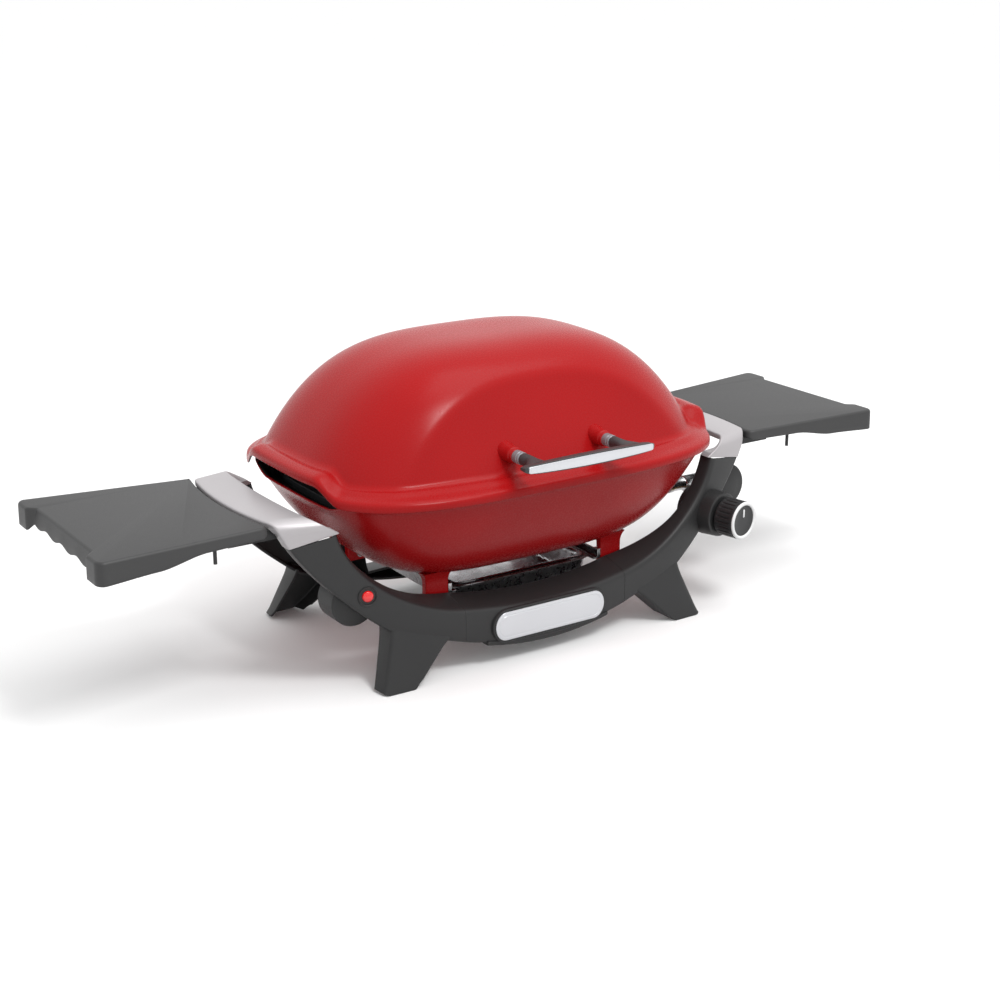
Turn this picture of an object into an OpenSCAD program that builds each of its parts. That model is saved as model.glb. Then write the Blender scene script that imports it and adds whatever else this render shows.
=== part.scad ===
// Tabletop gas barbecue: cast lid and cookbox on a curved four-legged frame,
// with two folding side tables.
// Origin: on the ground, under the middle of the whole grill.
// +X runs to the right along the length, +Y to the back, +Z up. Millimetres.

/* [Cookbox and lid] */
// Length of the cookbox at its rim
box_len = 632; // [600:1:640]
// Depth of the cookbox at its rim, front to back
box_dep = 434; // [420:1:438]
// Height of the cookbox from its floor to its rim
box_h = 142; // [130:1:145]
// Height of the rim above the ground
rim_z = 262; // [258:1:266]
// Length of the lid dome at its foot
dome_len = 630; // [610:1:636]
// Depth of the lid dome at its foot
dome_dep = 417; // [405:1:424]
// Height of the lid dome above its foot
dome_h = 160; // [140:1:180]
// Length of the lid flange between the end vents
flange_len = 660; // [650:1:670]
// Depth of the lid flange, front to back
flange_dep = 452; // [448:1:460]
// How far the flange rises over the vent at each end
vent_rise = 25; // [15:1:30]
// Wall thickness of the two castings
cast_t = 4; // [3:0.5:5]
// Diameter of the lid hinge pins
hinge_pin_d = 8; // [6:0.5:9]

/* [Handle] */
// Distance between the two handle posts
handle_pitch = 150; // [120:1:170]
// Length of the grip
handle_len = 214; // [190:1:230]
// Height of the grip above the ground
handle_z = 314; // [308:1:318]

/* [Frame] */
// Distance from the middle of the frame to the face of its front rail
rail_y = 178; // [170:1:186]
// Radius of the rails, seen from above
rail_arc_r = 1562; // [1400:1:1800]
// Depth of the rails, front to back
rail_dep = 50; // [44:1:54]
// Thickness of the moulded walls
rail_t = 4; // [3:0.5:5]
// Distance from the middle to the joint between beam and arm
seam_x = 138; // [130:1:145]
// Length of the nameplate
plate_len = 187; // [150:1:200]
// Height of the nameplate
plate_h = 42; // [30:1:44]

/* [Side tables] */
// Distance from the middle to the tip of a table
table_tip = 650; // [620:1:660]
// Depth of a table at its inner edge
table_in = 254; // [240:1:260]
// Depth of a table at its outer edge
table_out = 305; // [280:1:310]
// Thickness of the table top and its skirt
table_t = 3.5; // [3:0.5:5]

/* [Controls] */
// Diameter of the burner control knob
knob_d = 58; // [50:1:60]
// Length of the burner control knob
knob_l = 36; // [30:1:40]
// Travel of the knob when it is pushed in
knob_push = 3; // [2:0.5:4]
// Diameter of the ignition button
button_d = 16; // [14:0.5:20]
// Travel of the ignition button
button_push = 3; // [2:0.5:4]

/* [Hidden] */

$fn = 48;
// Distance that the middle of the frame lies behind the origin
frame_y = 18;
eps = 0.01;
// Radial clearance of a pin or a stem in its bore
fit = 0.05;
// Colours
red = [0.74, 0.12, 0.13];
black = [0.13, 0.13, 0.14];
grey = [0.30, 0.30, 0.31];
silver = [0.68, 0.67, 0.67];
steel = [0.75, 0.75, 0.77];
iron = [0.16, 0.16, 0.17];
brass = [0.78, 0.62, 0.30];

// ---- Helper functions ----

// 0 below 0, 1 above 1 and a smooth step between them
function smooth(u) = let (v = min(1, max(0, u))) v * v * (3 - 2 * v);
function mix(a, b, t) = a + (b - a) * t;
function bezier(a, b, c, d, t) =
    a * pow(1 - t, 3) + 3 * b * t * pow(1 - t, 2) + 3 * c * t * t * (1 - t) + d * t * t * t;
function flat(rings) = [for (ring = rings) for (p = ring) p];
// Distance from the centre to a superellipse with half axes a and b, in direction phi
function rim_r(phi, a, b, p) =
    pow(pow(abs(cos(phi)) / a, p) + pow(abs(sin(phi)) / b, p), -1 / p);
function rim_pt(phi, a, b, p) = rim_r(phi, a, b, p) * [cos(phi), sin(phi)];
// Plan curve of the rails: distance of the face from the middle, at x
function face_y(x) = rail_y - x * x / (2 * rail_arc_r);

// Two triangles for each cell between ring i and the next; the first ring starts at point base
function band(i, n, base) = [
    for (j = [0:n - 1])
        let (a = base + i * n + j, b = base + i * n + (j + 1) % n)
        each [[a, b, b + n], [a, b + n, a + n]]
];

// Skin through rings of points that run counter-clockwise, from the first pole to the last
module skin(pole_a, rings, pole_b) {
    n = len(rings[0]);
    m = len(rings);
    e = 1 + (m - 1) * n;
    polyhedron(
        points = concat([pole_a], flat(rings), [pole_b]),
        faces = concat(
            [for (j = [0:n - 1]) [0, 1 + (j + 1) % n, 1 + j]],
            [for (i = [0:m - 2]) each band(i, n, 1)],
            [for (j = [0:n - 1]) [e + j, e + (j + 1) % n, e + n]]
        ),
        convexity = 8
    );
}

// Open channel along sections of eight points: four outer ones, then four inner ones back
module channel(rings) {
    n = 8;
    e = (len(rings) - 1) * n;
    polyhedron(
        points = flat(rings),
        faces = concat(
            [for (i = [0:len(rings) - 2]) each band(i, n, 0)],
            [for (k = [0:2]) each [[7 - k, 6 - k, k + 1], [7 - k, k + 1, k]]],
            [for (k = [0:2]) each [[e + k, e + k + 1, e + 6 - k], [e + k, e + 6 - k, e + 7 - k]]]
        ),
        convexity = 8
    );
}

// Block between four lower and four upper points, both counter-clockwise seen from above
module block(low, high) {
    polyhedron(
        points = concat(low, high),
        faces = concat(
            [[0, 1, 2], [0, 2, 3], [6, 5, 4], [7, 6, 4]],
            [for (i = [0:3]) let (j = (i + 1) % 4) [4 + i, 4 + j, j]],
            [for (i = [0:3]) let (j = (i + 1) % 4) [4 + i, j, i]]
        )
    );
}

// Round bar from one point to another
module bar(a, b, r) {
    d = b - a;
    translate(a)
        rotate([0, acos(d[2] / norm(d)), atan2(d[1], d[0])])
            cylinder(r = r, h = norm(d));
}

// Cylinder from a point along +X or along +Y
module along_x(p, r, h) {
    translate(p) rotate([0, 90, 0]) cylinder(r = r, h = h);
}
module along_y(p, r, h) {
    translate(p) rotate([-90, 0, 0]) cylinder(r = r, h = h);
}

// ---- Cookbox ----
// Half axes and powers of its plan and of its side profile
box_a = box_len / 2;
box_b = box_dep / 2;
box_p = 3.8;
box_m = 5;
box_n = 1.136;
columns = 60;

// 1 over the vents at the two ends, 0 along the front and the back
vent_front = 140;
vent_back = 125;
function vent(x, y) =
    smooth(y < 0 ? (vent_front + y) / 38 : (vent_back - y) / 55) * smooth((abs(x) - 240) / 40);
function box_ratio(x, y) = pow(pow(abs(x) / box_a, box_p) + pow(abs(y) / box_b, box_p), 1 / box_p);
// Height of the cookbox's outer surface at radius ratio r, and at a place
function wall_z(r) = rim_z - box_h * pow(1 - pow(min(1, r), box_m), box_n);
function box_z(x, y) = wall_z(box_ratio(x, y));
// How far the rim dips under the vents
rim_dip = 9;
function box_ring(r, inset, lift) = [
    for (i = [0:columns - 1])
        let (phi = 360 * i / columns, p = r * rim_pt(phi, box_a - inset, box_b - inset, box_p))
        [p[0], p[1], wall_z(r) + lift - (r > 0.99 ? rim_dip * vent(p[0], p[1]) : 0)]
];
box_steps = [1, 0.985, 0.955, 0.91, 0.84, 0.74, 0.6, 0.4, 0.2];
// Thickness of the side wall, and radius of the hole that drains fat into the pans
box_t = cast_t + 1;
drain_r = 16;
// Width of the ledge that carries the grates, from the outer wall, and its thickness
ledge_w = 24;
ledge_t = 8;
// Length of the hole for the burner tube through the right wall
wall_hole_l = 110;

// Radius ratio of the cookbox wall at a height
function box_ratio_at(z) = pow(1 - pow((rim_z - z) / box_h, 1 / box_n), 1 / box_m);
// Ring on the inner wall at a height, set in from the outer wall
function wall_ring(z, inset) = [
    for (i = [0:columns - 1])
        let (p = box_ratio_at(z) * rim_pt(360 * i / columns, box_a - inset, box_b - inset, box_p))
        [p[0], p[1], z]
];
module cookbox() {
    color(red) translate([0, frame_y, 0]) difference() {
        skin(
            [0, 0, rim_z - box_h + cast_t],
            concat(
                [for (k = [len(box_steps) - 1:-1:3]) box_ring(box_steps[k], box_t, cast_t)],
                [wall_ring(grate_z - 1.5 * ledge_t, box_t), wall_ring(grate_z - ledge_t, ledge_w)],
                [wall_ring(grate_z - 0.1, ledge_w), wall_ring(grate_z, box_t), box_ring(1, box_t, 0)],
                [for (r = box_steps) box_ring(r, 0, 0)]
            ),
            [0, 0, rim_z - box_h]
        );
        translate([0, 0, rim_z - box_h - 1]) cylinder(r = drain_r, h = cast_t + 2);
        along_x([box_a - wall_hole_l, tube_y, tube_z], tube_r + 0.3, wall_hole_l);
    }
}

// Place, width and thickness of the mounting posts
post_x = 151;
post_y = 112.4;
post_w = 37;
post_t = 12;
post_z = 86;
// Mounting posts under the cookbox, reaching down behind the rails
module cookbox_posts() {
    color(red) translate([0, frame_y, 0])
        for (sx = [-1, 1]) for (sy = [-1, 1])
            cookbox_post(sx * post_x - post_w / 2, sy * post_y - post_t / 2);
}
module cookbox_post(x0, y0) {
    x1 = x0 + post_w;
    y1 = y0 + post_t;
    corners = [[x0, y0], [x1, y0], [x1, y1], [x0, y1]];
    block(
        [for (c = corners) [c[0], c[1], post_z]],
        [for (c = corners) [c[0], c[1], box_z(c[0], c[1]) - post_gap]]
    );
}
// Room for the bulge of the casting between the four corners of a post
post_gap = 0.9;

// ---- Burner and gas train ----
// Line of the tube that enters from the right, and the tube's radius
tube_y = -75;
tube_z = 171;
tube_r = 9;
// Half size of the loop and the radius of its corners
loop_x = 170;
loop_y = 75;
loop_r = 50;
// Ends of the straight runs
run_x = loop_x - loop_r;
run_y = loop_y - loop_r;
// Where the loop ends, short of the tube that feeds it
loop_end = -35;
// Where the venturi begins, outside the cookbox's right wall
venturi_x = 322;
venturi_l = 26;
// Stainless tube bent into a loop, passing out through the right wall
module burner() {
    color(steel) translate([0, frame_y, tube_z]) {
        along_x([-run_x, -loop_y, 0], tube_r, venturi_x + run_x);
        burner_corner(-1, -1, 180);
        burner_corner(-1, 1, 90);
        burner_corner(1, 1, 0);
        along_y([-loop_x, -run_y, 0], tube_r, 2 * run_y);
        along_x([-run_x, loop_y, 0], tube_r, 2 * run_x);
        along_y([loop_x, loop_end, 0], tube_r, run_y - loop_end);
    }
}
module burner_corner(sx, sy, turn) {
    translate([sx * run_x, sy * run_y, 0]) rotate([0, 0, turn])
        rotate_extrude(angle = 90) translate([loop_r, 0]) circle(r = tube_r);
}
// Flared mouth on the end of the burner tube, which draws in air
module venturi() {
    color(steel) translate([0, frame_y, 0]) difference() {
        along_x([venturi_x, tube_y, tube_z], tube_r + 3, venturi_l);
        along_x([venturi_x + 2, tube_y, tube_z], tube_r + 1, venturi_l);
    }
}

// Studs that carry the burner above the cookbox floor
module burner_posts() {
    color(steel) translate([0, frame_y, 0])
        for (x = [-90, 90]) for (y = [-loop_y, loop_y]) burner_post(x, y);
}
module burner_post(x, y) {
    low = box_z(x, y) + cast_t + 1.5;
    translate([x, y, low]) cylinder(r = 5, h = tube_z - tube_r - low - 0.1);
}

// Spark electrode beside the burner
module igniter_electrode() {
    color(steel) translate([-60, frame_y - 50, 0]) {
        translate([0, 0, 127.5]) cylinder(r = 6, h = 22);
        translate([0, 0, 149.5]) cylinder(r = 3.5, h = 14);
        translate([0, 0, 163.5]) cylinder(r = 1.2, h = 12);
    }
}

// ---- Grates ----
grate_z = 236;
grate_t = 11;
grate_a = 284;
grate_b = 192;
// Pitch and width of the slots, half width of the middle rib and width of the edge
bar_pitch = 18;
slot_w = 9;
grate_rib = 8;
grate_edge = 12;
// Half depth of the grate at x
function grate_y(x) = grate_b * pow(1 - pow(min(1, abs(x) / grate_a), box_p), 1 / box_p);
// Half plan with rows of slots, from the middle rib to the edge
module grate() {
    outline = [for (k = [0:24]) rim_pt(-90 + 7.5 * k, grate_a, grate_b, box_p)];
    linear_extrude(grate_t) difference() {
        polygon([for (p = outline) [max(1, p[0]), p[1]]]);
        for (k = [0:13]) grate_slots(20 + bar_pitch * k);
    }
}
module grate_slots(x) {
    reach = grate_y(x + slot_w / 2) - grate_edge;
    for (y = [grate_rib, -reach]) translate([x - slot_w / 2, y]) square([slot_w, reach - grate_rib]);
}
module left_grate() {
    color(iron) translate([0, frame_y, grate_z]) mirror([1, 0, 0]) grate();
}
module right_grate() {
    color(iron) translate([0, frame_y, grate_z]) grate();
}

// ---- Lid ----
// Half axes and powers of the dome's plan and of its side profile
dome_a = dome_len / 2;
dome_b = dome_dep / 2;
dome_p = 3.1;
dome_m = 3.61;
dome_n = 0.943;
dome_foot = 280;
dome_mid = 5;
// Half breadths of the flange, and how far it reaches out over a vent
flange_a = flange_len / 2;
flange_b = flange_dep / 2;
flange_p = 3.6;
vent_out = 6;
// Foot of the hollowed front face, its slope and its bend upward, and its bend across
// near the foot and everywhere
scoop_y = -199.5;
scoop_slope = 0.585;
scoop_hollow = -0.00059;
scoop_low = 0.00068;
scoop_high = -0.000166;

function dome_z(r) = dome_foot + dome_h * pow(1 - pow(r, dome_m), dome_n);
function dome_ratio(z) = pow(1 - pow((z - dome_foot) / dome_h, 1 / dome_n), 1 / dome_m);
// Y of the hollowed front face at a place
function scoop(x, z) =
    let (up = z - dome_foot)
    scoop_y + scoop_slope * up + scoop_hollow * up * up
    + (scoop_low * max(0, 1 - up / 125) + scoop_high) * x * x;
function flange_rim(phi) = rim_pt(phi, flange_a, flange_b, flange_p);
// Radius ratio of the dome's foot in a direction: higher over the vents
function foot_ratio(phi) =
    let (p = flange_rim(phi)) dome_ratio(dome_foot + 3 + 17 * vent(p[0], p[1]));
// Point on the plain dome; s runs from 0 at the top to 1 at the foot
function dome_raw(phi, s) =
    let (r = foot_ratio(phi) * (1 - pow(1 - s, 1.8)), p = r * rim_pt(phi, dome_a, dome_b, dome_p))
    [p[0], p[1] + dome_mid, dome_z(r)];
function over_scoop(phi, s) = let (q = dome_raw(phi, s)) q[1] - scoop(q[0], q[2]);
// Where the dome meets the hollowed front, found by halving
function crease_s(phi, lo, hi, n) =
    let (mid = (lo + hi) / 2)
    n == 0 ? mid :
    over_scoop(phi, mid) > 0 ? crease_s(phi, mid, hi, n - 1) : crease_s(phi, lo, mid, n - 1);
edge_s = 0.93;
function crease(phi) =
    phi > 180 && over_scoop(phi, edge_s) < 0 ? crease_s(phi, 0.2, edge_s, 12) : edge_s;
function dome_pt(phi, s) =
    let (q = dome_raw(phi, s)) [q[0], max(q[1], scoop(q[0], q[2])), q[2]];
// Row u: 0 to 1 from the top to the crease, 1 to 2 from the crease to the foot
function lid_pt(phi, u) =
    let (c = crease(phi)) dome_pt(phi, u < 1 ? u * c : mix(c, 1, u - 1));
// Point on the flange: k from 0 at the dome's foot to 1 at its edge
function flange_pt(phi, k, drop) =
    let (e = flange_rim(phi), w = vent(e[0], e[1]), f = dome_pt(phi, 1))
    let (out = [e[0] + sign(e[0]) * vent_out * w, e[1]], q = mix([f[0], f[1]], out, k))
    [q[0], q[1], dome_foot + vent_rise * w - drop];
// Point on the inside of the casting that faces point q
function inner(q) = [
    q[0] * (1 - cast_t / dome_a),
    dome_mid + (q[1] - dome_mid) * (1 - cast_t / dome_b),
    q[2] - cast_t
];
// Section of the flange from the dome's foot, over the edge and back underneath: [k, drop]
flange_rows = [
    [0.25, 1], [0.7, 4], [0.95, 8], [1, 12], [1, 18],
    [0.8, 18], [0.78, 10], [0.1, 5.5]
];

module lid() {
    phis = [for (i = [0:columns - 1]) 360 * i / columns];
    rows = [for (k = [1:7]) k / 7, for (k = [1:5]) 1 + k / 5];
    in_rows = [for (k = [5:-1:1]) 1 + k / 5, for (k = [6:-1:1]) k / 6];
    color(red) translate([0, frame_y, 0])
        skin(
            [0, dome_mid, dome_foot + dome_h],
            concat(
                [for (u = rows) [for (phi = phis) lid_pt(phi, u)]],
                [for (f = flange_rows) [for (phi = phis) flange_pt(phi, f[0], f[1])]],
                [for (u = in_rows) [for (phi = phis) inner(lid_pt(phi, u))]]
            ),
            [0, dome_mid, dome_foot + dome_h - cast_t]
        );
}

// ---- Lid hinge ----
// Axis of the pins, and where the two hinges stand
hinge_y = 233;
hinge_z = 252;
hinge_x = 110;
// Widths of a cheek and of a tongue, and the radius of their eyes
cheek_w = 8;
cheek_x = 14;
lug_w = 18;
eye_r = 7.5;
lug_top = 9.9;
// Cheeks on the back wall of the cookbox
module hinge_brackets() {
    color(red) translate([0, frame_y, 0])
        for (s = [-1, 1]) for (c = [-1, 1])
            difference() {
                hinge_plate(s * hinge_x + c * cheek_x - cheek_w / 2);
                hinge_bore();
            }
}
module hinge_plate(x) {
    along_x([x, hinge_y, hinge_z], eye_r + 0.5, cheek_w);
    translate([x, box_b - 2, hinge_z - 8]) cube([cheek_w, hinge_y - box_b + 2, 14]);
}
module hinge_bore() {
    along_x([-200, hinge_y, hinge_z], hinge_pin_d / 2 + fit, 400);
}
// Tongues under the lid flange
module hinge_lugs() {
    color(red) translate([0, frame_y, 0])
        for (s = [-1, 1])
            difference() {
                hinge_lug(s * hinge_x - lug_w / 2);
                hinge_bore();
                translate([s * hinge_x - 20, 200, hinge_z + lug_top])
                    cube([40, lid_back(s * hinge_x) + 0.2 - 200, 20]);
            }
}
module hinge_lug(x) {
    along_x([x, hinge_y, hinge_z], eye_r, lug_w);
    translate([x, hinge_y - eye_r, hinge_z]) cube([lug_w, 2 * eye_r, lug_top]);
    translate([x, flange_b - 2, hinge_z + lug_top - eps])
        cube([lug_w, hinge_y + eye_r + 2 - flange_b, 10]);
}
// Y of the lid flange's back edge at x
function lid_back(x) = flange_b * pow(1 - pow(abs(x) / flange_a, flange_p), 1 / flange_p);
module hinge_pins() {
    color(steel) translate([0, frame_y, 0])
        for (s = [-1, 1]) {
            along_x([s * hinge_x - 20, hinge_y, hinge_z], hinge_pin_d / 2, 40);
            along_x([s * hinge_x - 22, hinge_y, hinge_z], hinge_pin_d / 2 + 2, 2 + eps);
        }
}

// ---- Handle ----
// Axis of the two handle posts at the height of the grip, and the middle of the grip
grip_y = -262;
boss_z = handle_z - 2;
grip_d = 22;
module handle_bosses() {
    color(red) translate([0, frame_y, 0])
        for (s = [-1, 1]) difference() {
            translate([s * handle_pitch / 2, -203, boss_z]) rotate([-90, 0, 0])
                cylinder(r1 = 13, r2 = 17, h = 34);
            scoop_space();
        }
}
// Everything behind the hollowed front face, near the handle
module scoop_space() {
    x = 110;
    z0 = handle_z - 24;
    z1 = handle_z + 24;
    y0 = scoop(handle_pitch / 2 - 17, z0) - 0.3;
    y1 = scoop(handle_pitch / 2 - 17, z1) - 0.3;
    block(
        [[-x, y0, z0], [x, y0, z0], [x, -100, z0], [-x, -100, z0]],
        [[-x, y1, z1], [x, y1, z1], [x, -100, z1], [-x, -100, z1]]
    );
}
module handle_ferrules() {
    color([0.42, 0.43, 0.45]) translate([0, frame_y, 0])
        for (s = [-1, 1]) along_y([s * handle_pitch / 2, -219, boss_z], 9, 16);
}
// The front of the grip is higher in the middle than at its ends
grip_mid = 9.5;
grip_taper = 2;
function grip_half(u) = grip_mid - grip_taper * u * u;
module handle_grip() {
    color(black) translate([0, frame_y, 0]) {
        for (s = [-1, 1]) {
            along_y([s * handle_pitch / 2, -225, boss_z], 9, 6);
            bar([s * handle_pitch / 2, -222, boss_z], [s * 88, grip_y + 3, handle_z - 1], 6.8);
        }
        translate([0, grip_y + grip_d / 2 - 1, 0]) rotate([90, 0, 0])
            linear_extrude(grip_d) grip_outline(handle_len / 2, 0);
    }
}
module grip_outline(half, inset) {
    polygon(concat(
        [for (k = [-8:8]) [k / 8 * half, handle_z + grip_half(k / 8) - inset]],
        [for (k = [8:-1:-8]) [k / 8 * half, handle_z - grip_half(k / 8) + inset]]
    ));
}
module handle_insert() {
    color([0.8, 0.81, 0.83]) translate([0, frame_y + grip_y - grip_d / 2 - 1, 0])
        rotate([90, 0, 0]) linear_extrude(2.5) grip_outline(handle_len / 2 - 4, 2.5);
}

// ---- Frame ----
// Section of a rail between its lower edge, its crease and its back edge, all [x, z]
function rail_section(low, mid, top, back) =
    let (u = (mid - low) / norm(mid - low) * rail_t)
    let (yl = -face_y(low[0]), ym = -face_y(mid[0]))
    [
        [low[0], yl + back, low[1]], [low[0], yl, low[1]],
        [mid[0], ym, mid[1]], [top[0], ym + back, top[1]],
        [top[0] - u[0], ym + back, top[1] - u[1]], [mid[0] - u[0], ym + rail_t, mid[1] - u[1]],
        [low[0] + u[0], yl + rail_t, low[1] + u[1]], [low[0] + u[0], yl + back, low[1] + u[1]]
    ];
function belly(x) = 27 + 24 * pow(x / 162, 2);
function beam_crease(x) = 83 + 9 * pow(x / seam_x, 2);
function beam_top(x) = 92 + 12 * pow(x / seam_x, 2);
// The back beam dips in the middle, where the catch pan slides out
function dip(x) = smooth((abs(x) - 131) / 6);
function low_crease(x) = mix(50, beam_crease(x), dip(x));
function low_top(x) = mix(56, beam_top(x), dip(x));
beam_x = [for (k = [-12:12]) k / 12 * (seam_x - 0.2)];

module front_beam() {
    color(black) translate([0, frame_y, 0]) {
        channel([
            for (x = beam_x)
                rail_section([x, belly(x)], [x, beam_crease(x)], [x, beam_top(x)], rail_dep)
        ]);
        plate_pad();
        keel();
    }
}
// Raised pad behind the nameplate
pad_t = 3.5;
module plate_pad() {
    translate([0, -rail_y - 1.5, plate_z]) rotate([-90, 0, 0])
        linear_extrude(pad_t) plate_outline(plate_len + 8, plate_h + 8);
}
// Shallow keel under the beam
keel_x = 104;
module keel() {
    low = [for (k = [-10:10]) let (x = k / 10 * keel_x) [x, -belly(x) - 0.2]];
    high = [for (k = [10:-1:-10]) let (x = k / 10 * keel_x) [x, -21 - 12 * pow(k / 10, 2)]];
    translate([0, 1 - rail_y, 0]) rotate([-90, 0, 0])
        linear_extrude(rail_dep - 3) polygon(concat(low, high));
}
module rear_beam() {
    color(black) translate([0, frame_y, 0]) mirror([0, 1, 0])
        channel([
            for (x = beam_x)
                rail_section([x, belly(x)], [x, low_crease(x)], [x, low_top(x)], rail_dep)
        ]);
}

arm_steps = 22;
// Share of the lower edge that runs over the leg, and where the free lower edge begins
leg_t = 0.35;
leg_end = [239, 73];
function arm_low(t) =
    t < leg_t ? mix([seam_x, belly(seam_x)], leg_end, t / leg_t) :
    bezier(leg_end, [280, 100], [352, 165], [382, 217], (t - leg_t) / (1 - leg_t));
function arm_crease(t) = bezier([seam_x, beam_crease(seam_x)], [225, 105], [303, 163], [319, 228.5], t);
function arm_top(t) = bezier([seam_x, beam_top(seam_x)], [225, 110], [298, 168], [315, 230], t);

// The arms get shallower towards the end handles
end_dep = 24;
function arm_dep(t) = mix(rail_dep, end_dep, smooth(t / 0.6));

// Right-hand arm with its leg, as seen at the front
module arm() {
    channel([
        for (k = [0:arm_steps])
            let (t = k / arm_steps)
            rail_section(arm_low(t), arm_crease(t), arm_top(t), arm_dep(t))
    ]);
    difference() {
        block(
            [[222, -184, 0], [274, -183, 0], [278, -158, 0], [218, -158, 0]],
            [[162, -165, 54], [241, -156, 76], [241, -122, 76], [162, -130, 54]]
        );
        block(
            [[227, -180, -1], [270, -179, -1], [274, -150, -1], [223, -150, -1]],
            [[170, -161, 52], [236, -152, 71], [236, -110, 71], [170, -110, 52]]
        );
    }
}

// Place on the rail's face where a round control sits, its axis square to the face
module at_face(x, z) {
    translate([x, -face_y(x), z]) rotate([90, 0, asin(x / rail_arc_r)]) children();
}
// Control knob: its place, and the radius and height of the boss around it
knob_x = 322;
knob_z = 144;
boss_r = 34;
boss_h = 22;
// Ignition button: its place, its bezel and the drum behind it
button_x = -281;
button_z = 138;
bezel_r = button_d / 2 + 7;
drum_x = -288;
drum_z = 124;
drum_r = 35;

module front_right_arm() {
    color(black) translate([0, frame_y, 0]) difference() {
        union() {
            arm();
            at_face(knob_x, knob_z) translate([0, 0, -40]) cylinder(r = boss_r, h = 40 + boss_h);
        }
        at_face(knob_x, knob_z) translate([0, 0, -60])
            cylinder(r = boss_r - rail_t, h = 60 + boss_h - rail_t);
        at_face(knob_x, knob_z) translate([0, 0, -10]) cylinder(r = 7, h = 40);
        bar(outlet_a, outlet_b, outlet_r + 0.5);
    }
}
module front_left_arm() {
    color(black) translate([0, frame_y, 0]) difference() {
        union() {
            mirror([1, 0, 0]) arm();
            along_y([drum_x, -130, drum_z], drum_r, 42);
            at_face(button_x, button_z) translate([0, 0, -8]) cylinder(r = bezel_r, h = 10);
        }
        along_y([drum_x, -126, drum_z], drum_r - rail_t, 60);
        at_face(button_x, button_z) translate([0, 0, -30]) cylinder(r = button_d / 2 + 0.4, h = 60);
    }
}
module rear_left_arm() {
    color(black) translate([0, frame_y, 0]) rotate([0, 0, 180]) arm();
}
module rear_right_arm() {
    color(black) translate([0, frame_y, 0]) mirror([0, 1, 0]) arm();
}

// Arch across the end of the frame, with bores for the table pins
arch_w = 284;
arch_in = 244;
// The band over the arch is bowed: its middle and radius seen from above, and its width
bow_r = 540;
bow_x = 418.5 - bow_r;
band_w = 48.5;
module end_handle() {
    color(silver) translate([0, frame_y, 0]) difference() {
        intersection() {
            translate([300, 0, 219]) rotate([90, 0, 90]) linear_extrude(110) difference() {
                arch(arch_w, 36.5, 20);
                translate([0, -1]) arch(arch_in, 28, 14);
            }
            rotate([90, 0, 0]) linear_extrude(400, center = true) end_profile();
            translate([bow_x, 0, 0]) cylinder(r = bow_r, h = 400, $fn = 360);
            rail_round(1);
            rail_round(-1);
        }
        intersection() {
            translate([bow_x, 0, 0]) cylinder(r = bow_r - band_w, h = 400, $fn = 360);
            translate([0, -arch_in / 2, 0]) cube([400, arch_in, 300]);
        }
        for (s = [-1, 1]) along_y([pivot_x, s * 124 - 6, pivot_z], pin_r + fit, 12);
    }
}
// Space inside the front (1) or the back (-1) rail's face
module rail_round(s) {
    translate([0, s * (rail_arc_r - rail_y), 0]) cylinder(r = rail_arc_r, h = 400, $fn = 360);
}
// Side profile of the arch
module end_profile() {
    polygon([
        [314, 230.6], [384, 217.4], [396, 240], [403, 247],
        [419, 251], [419, 256], [351, 256], [336, 248]
    ]);
}
// Upright with two rounded upper corners
module arch(w, h, r) {
    translate([-w / 2, 0]) square([w, h - r]);
    translate([-w / 2 + r, 0]) square([w - 2 * r, h]);
    for (s = [-1, 1]) translate([s * (w / 2 - r), h - r]) circle(r = r);
}
module left_end_handle() {
    mirror([1, 0, 0]) end_handle();
}
module right_end_handle() {
    end_handle();
}

plate_z = 58;
module plate_outline(w, h) {
    square([w - h, h], center = true);
    for (s = [-1, 1]) translate([s * (w - h) / 2, 0]) circle(r = h / 2);
}
module nameplate() {
    color([0.82, 0.83, 0.84]) translate([0, frame_y - rail_y - 1.5, plate_z])
        rotate([90, 0, 0]) linear_extrude(1.6) plate_outline(plate_len, plate_h);
}
// Bolts that tie the posts to the frame
module post_bolts() {
    y = post_y - post_t / 2;
    color(steel) translate([0, frame_y, 0])
        for (x = [-post_x, post_x]) {
            along_y([x, y - 4, 96], 5, 4);
            along_y([x, -y, 96], 5, 4);
        }
}

// ---- Catch pan ----
// Half size of the pan, its floor, its rim and its sheet
pan_x = 118;
pan_y = 108;
pan_z = 70;
pan_rim_z = 104;
pan_t = 1.5;
// Rails: half distance between them, half length, height and the tabs that hold them to the posts
track_x = 127;
track_y = 118;
track_h = 14;
tab_l = 12;
module catch_pan_rails() {
    color(steel) translate([0, frame_y, pan_rim_z - 4.2]) {
        pan_rail();
        mirror([1, 0, 0]) pan_rail();
    }
}
module pan_rail() {
    translate([track_x, -track_y, 0]) cube([2, 2 * track_y, track_h]);
    translate([track_x - 8, -track_y, 0]) cube([8, 2 * track_y, 2]);
    for (y = [-track_y, track_y - tab_l])
        translate([track_x + 2 - eps, y, 0]) cube([post_x - post_w / 2 - track_x - 2, tab_l, track_h]);
}
module catch_pan() {
    color(steel) translate([0, frame_y, 0])
        difference() {
            union() {
                pan_box(pan_x, pan_y, pan_z, pan_rim_z - pan_z);
                pan_box(pan_x + 6, pan_y + 6, pan_rim_z - 2, 1.6);
            }
            pan_box(pan_x - pan_t, pan_y - pan_t, pan_z + pan_t, 40);
        }
}
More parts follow.
